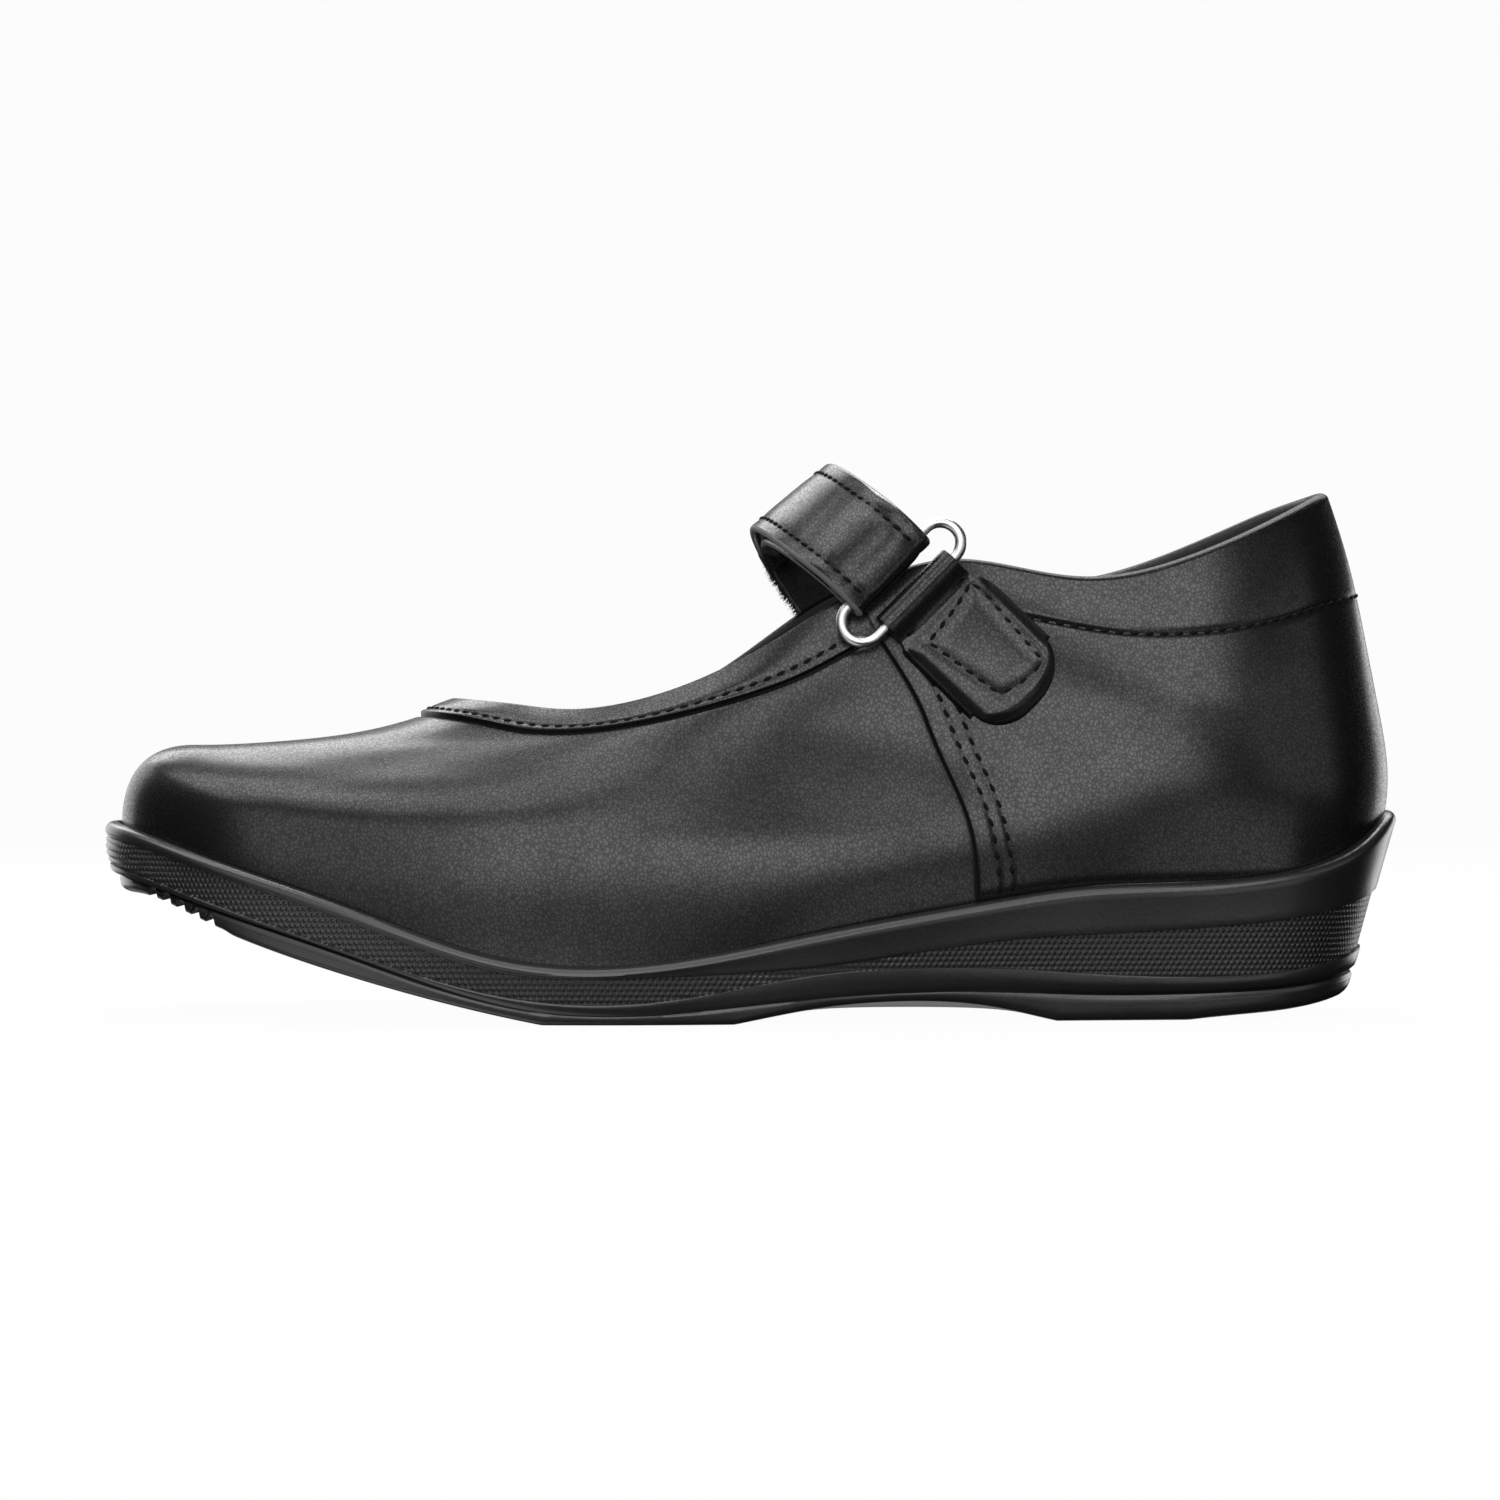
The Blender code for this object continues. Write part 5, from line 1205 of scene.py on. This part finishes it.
def sewAll():
    place = np.linspace(-stitch["throatTo"], stitch["throatTo"], 700)
    length = ribLength(place)
    sewUpper(place, 1.0 - (trimWidth(place) - upper["stripStitch"]) / length, stitch["throatPitch"])
    place = np.linspace(stitch["collarFrom"], fullRound - stitch["collarFrom"], 700)
    sewUpper(place, 1.0 - trimWidth(place) / ribLength(place), stitch["collarPitch"])
    for side in (1.0, -1.0):
        for distance in upper["seamStitches"]:
            rise = np.linspace(*stitch["seamRises"], 200)
            place = side * (seamRow + distance / seamSpeed(rise)) % fullRound
            rise = np.minimum(rise, 1.0 - (trimWidth(place) + 1.5) / ribLength(place))
            keep = np.concatenate([[True], np.diff(rise) > 0.0])
            sewUpper(place[keep], rise[keep], stitch["seamPitch"])
    corners = np.array(tab["shield"])
    for start, end in zip(corners, np.roll(corners, -1, axis=0)):
        line = start + np.linspace(0.0, 1.0, 40)[:, None] * (end - start)
        path = tabPoint(line[:, 0], line[:, 1], 0.0 * line[:, 0] + tabHigh - 0.5 * tab["shieldDip"])
        sewRow(path, np.tile(offLeather, (len(line), 1)), stitch["tabPitch"])
    run = someStops(strapRun, slice(strapBase + strap["foldStops"] + 1, None))
    run = someStops(run, run["half"] > strapHalf - 0.05)
    for side in (-1.0, 1.0):
        share = np.full((len(run["half"]), 1), side * (1.0 - strap["stitchIn"] / strapHalf))
        path = strapSheet(run, share)[:, 0] + run["out"] * (0.5 * strap["thickness"] - 0.06)
        sewRow(path, run["out"], stitch["strapPitch"])
    template = tubeFaces(stitch["stops"], stitch["sides"])
    points = np.concatenate(stitchParts)
    starts = np.arange(len(points))[:, None] * points.shape[1]
    faces = (starts[..., None] + np.array(template[:-2])).reshape(-1, 4).tolist()
    for end in template[-2:]:
        faces += (starts + np.array(end)).tolist()
    return makeMesh("stitching", points, faces, [thread], None, 80.0)


sewAll()
print("stitches made:", sum(len(part) for part in stitchParts))

# Stage: white floor that turns up far off, soft boxes for the reflections, and the photograph's camera
stage = {"cameraX": 0.00017, "cameraDistance": 0.71, "cameraHeight": 0.045, "frameWidth": 0.25854,
         "radius": 2.6, "bend": 0.7, "wall": 3.0, "sides": 96, "glow": 0.97, "room": 0.0, "boxDistance": 1.0}
boxes = {  # soft boxes: degrees from the camera's side to the heel, degrees up, width, height, brightness
    "left": (-30.0, 17.0, 1.07, 0.80, 1.7),
    "key": (-10.0, 20.0, 0.40, 1.05, 2.5),
    "right": (12.0, 6.0, 0.40, 0.36, 4.6),
    "collar": (27.0, 33.0, 0.32, 0.50, 4.8),
    "crown": (-20.0, 65.0, 0.80, 0.46, 3.4),
    "toe": (-90.0, 55.0, 0.55, 0.50, 4.0),
    "above": (167.0, 69.0, 0.64, 0.50, 16.0),
    "back": (180.0, 38.0, 1.30, 0.46, 4.0),
    "toe_back": (-140.0, 10.0, 0.65, 0.70, 1.8),
    "heel_back": (138.0, -1.0, 0.50, 0.36, 2.4),
    "side": (58.0, 12.0, 0.60, 0.60, 0.8),
    "floor_left": (-46.0, -20.0, 0.60, 0.30, 1.8),
    "floor_right": (36.0, -18.0, 0.60, 0.24, 1.5),
    "floor": (-60.0, -58.0, 0.80, 0.60, 1.6),
    "under": (-165.0, -30.0, 1.20, 0.50, 0.6),
}


def makeBackdrop():  # bowl that only the camera sees: a profile carried round the upright axis
    turn = np.linspace(0.0, 0.5 * np.pi, 16)
    flat, bend = stage["radius"] - stage["bend"], stage["bend"]
    curve = np.stack([flat + bend * np.sin(turn), bend * (1.0 - np.cos(turn))], axis=-1)
    profile = np.concatenate([[(0.01, 0.0), (0.5 * flat, 0.0)], curve, [(stage["radius"], stage["wall"])]])
    sides, count = stage["sides"], len(profile)
    angle = np.linspace(0.0, 2.0 * np.pi, sides, endpoint=False)[:, None]
    height = np.broadcast_to(profile[:, 1], (sides, count))
    points = np.stack([np.cos(angle) * profile[:, 0], np.sin(angle) * profile[:, 0], height], axis=-1)
    faces = gridQuads(sides, count, True)[:, ::-1].tolist() + [(np.arange(sides) * count).tolist()]
    mesh = bpy.data.meshes.new("backdrop")
    mesh.from_pydata(points.reshape(-1, 3).tolist(), [], faces)
    mesh.shade_smooth()
    white = Finish("backdrop_white", (0.012, 0.012, 0.012), 0.9, Specular_IOR_Level=0.0,
                   Emission_Color=(1.0, 1.0, 1.0, 1.0), Emission_Strength=stage["glow"])
    mesh.materials.append(white.material)
    thing = addThing("backdrop", mesh)
    thing.visible_glossy = False
    thing.visible_diffuse = False
    thing.visible_shadow = False


def addBox(name, around, climb, width, height, brightness):  # soft box that faces the middle of the shoe
    lamp = bpy.data.lights.new(name, "AREA")
    lamp.shape = "RECTANGLE"
    lamp.size, lamp.size_y = width, height
    lamp.energy = brightness * math.pi * width * height
    thing = addThing(name, lamp)
    thing.visible_camera = False
    around, climb = math.radians(around), math.radians(climb)
    level = stage["boxDistance"] * math.cos(climb)
    thing.location = (level * math.sin(around), -level * math.cos(around),
                      stage["cameraHeight"] + stage["boxDistance"] * math.sin(climb))
    thing.rotation_euler = (0.5 * math.pi - climb, 0.0, around)


def makeStage():
    makeBackdrop()
    for name, box in boxes.items():
        addBox(name + "_box", *box)
    world = bpy.data.worlds.new("studio")
    world.use_nodes = True
    world.node_tree.nodes["Background"].inputs["Color"].default_value = (1.0, 1.0, 1.0, 1.0)
    world.node_tree.nodes["Background"].inputs["Strength"].default_value = stage["room"]
    bpy.context.scene.world = world
    bpy.context.scene.view_settings.view_transform = "Standard"
    lens = bpy.data.cameras.new("photo_camera")
    lens.sensor_width = 36.0
    lens.lens = lens.sensor_width * stage["cameraDistance"] / stage["frameWidth"]
    camera = addThing("photo_camera", lens)
    camera.location = (stage["cameraX"], -stage["cameraDistance"], stage["cameraHeight"])
    camera.rotation_euler = (0.5 * math.pi, 0.0, 0.0)
    bpy.context.scene.camera = camera


makeStage()
print("stage made")
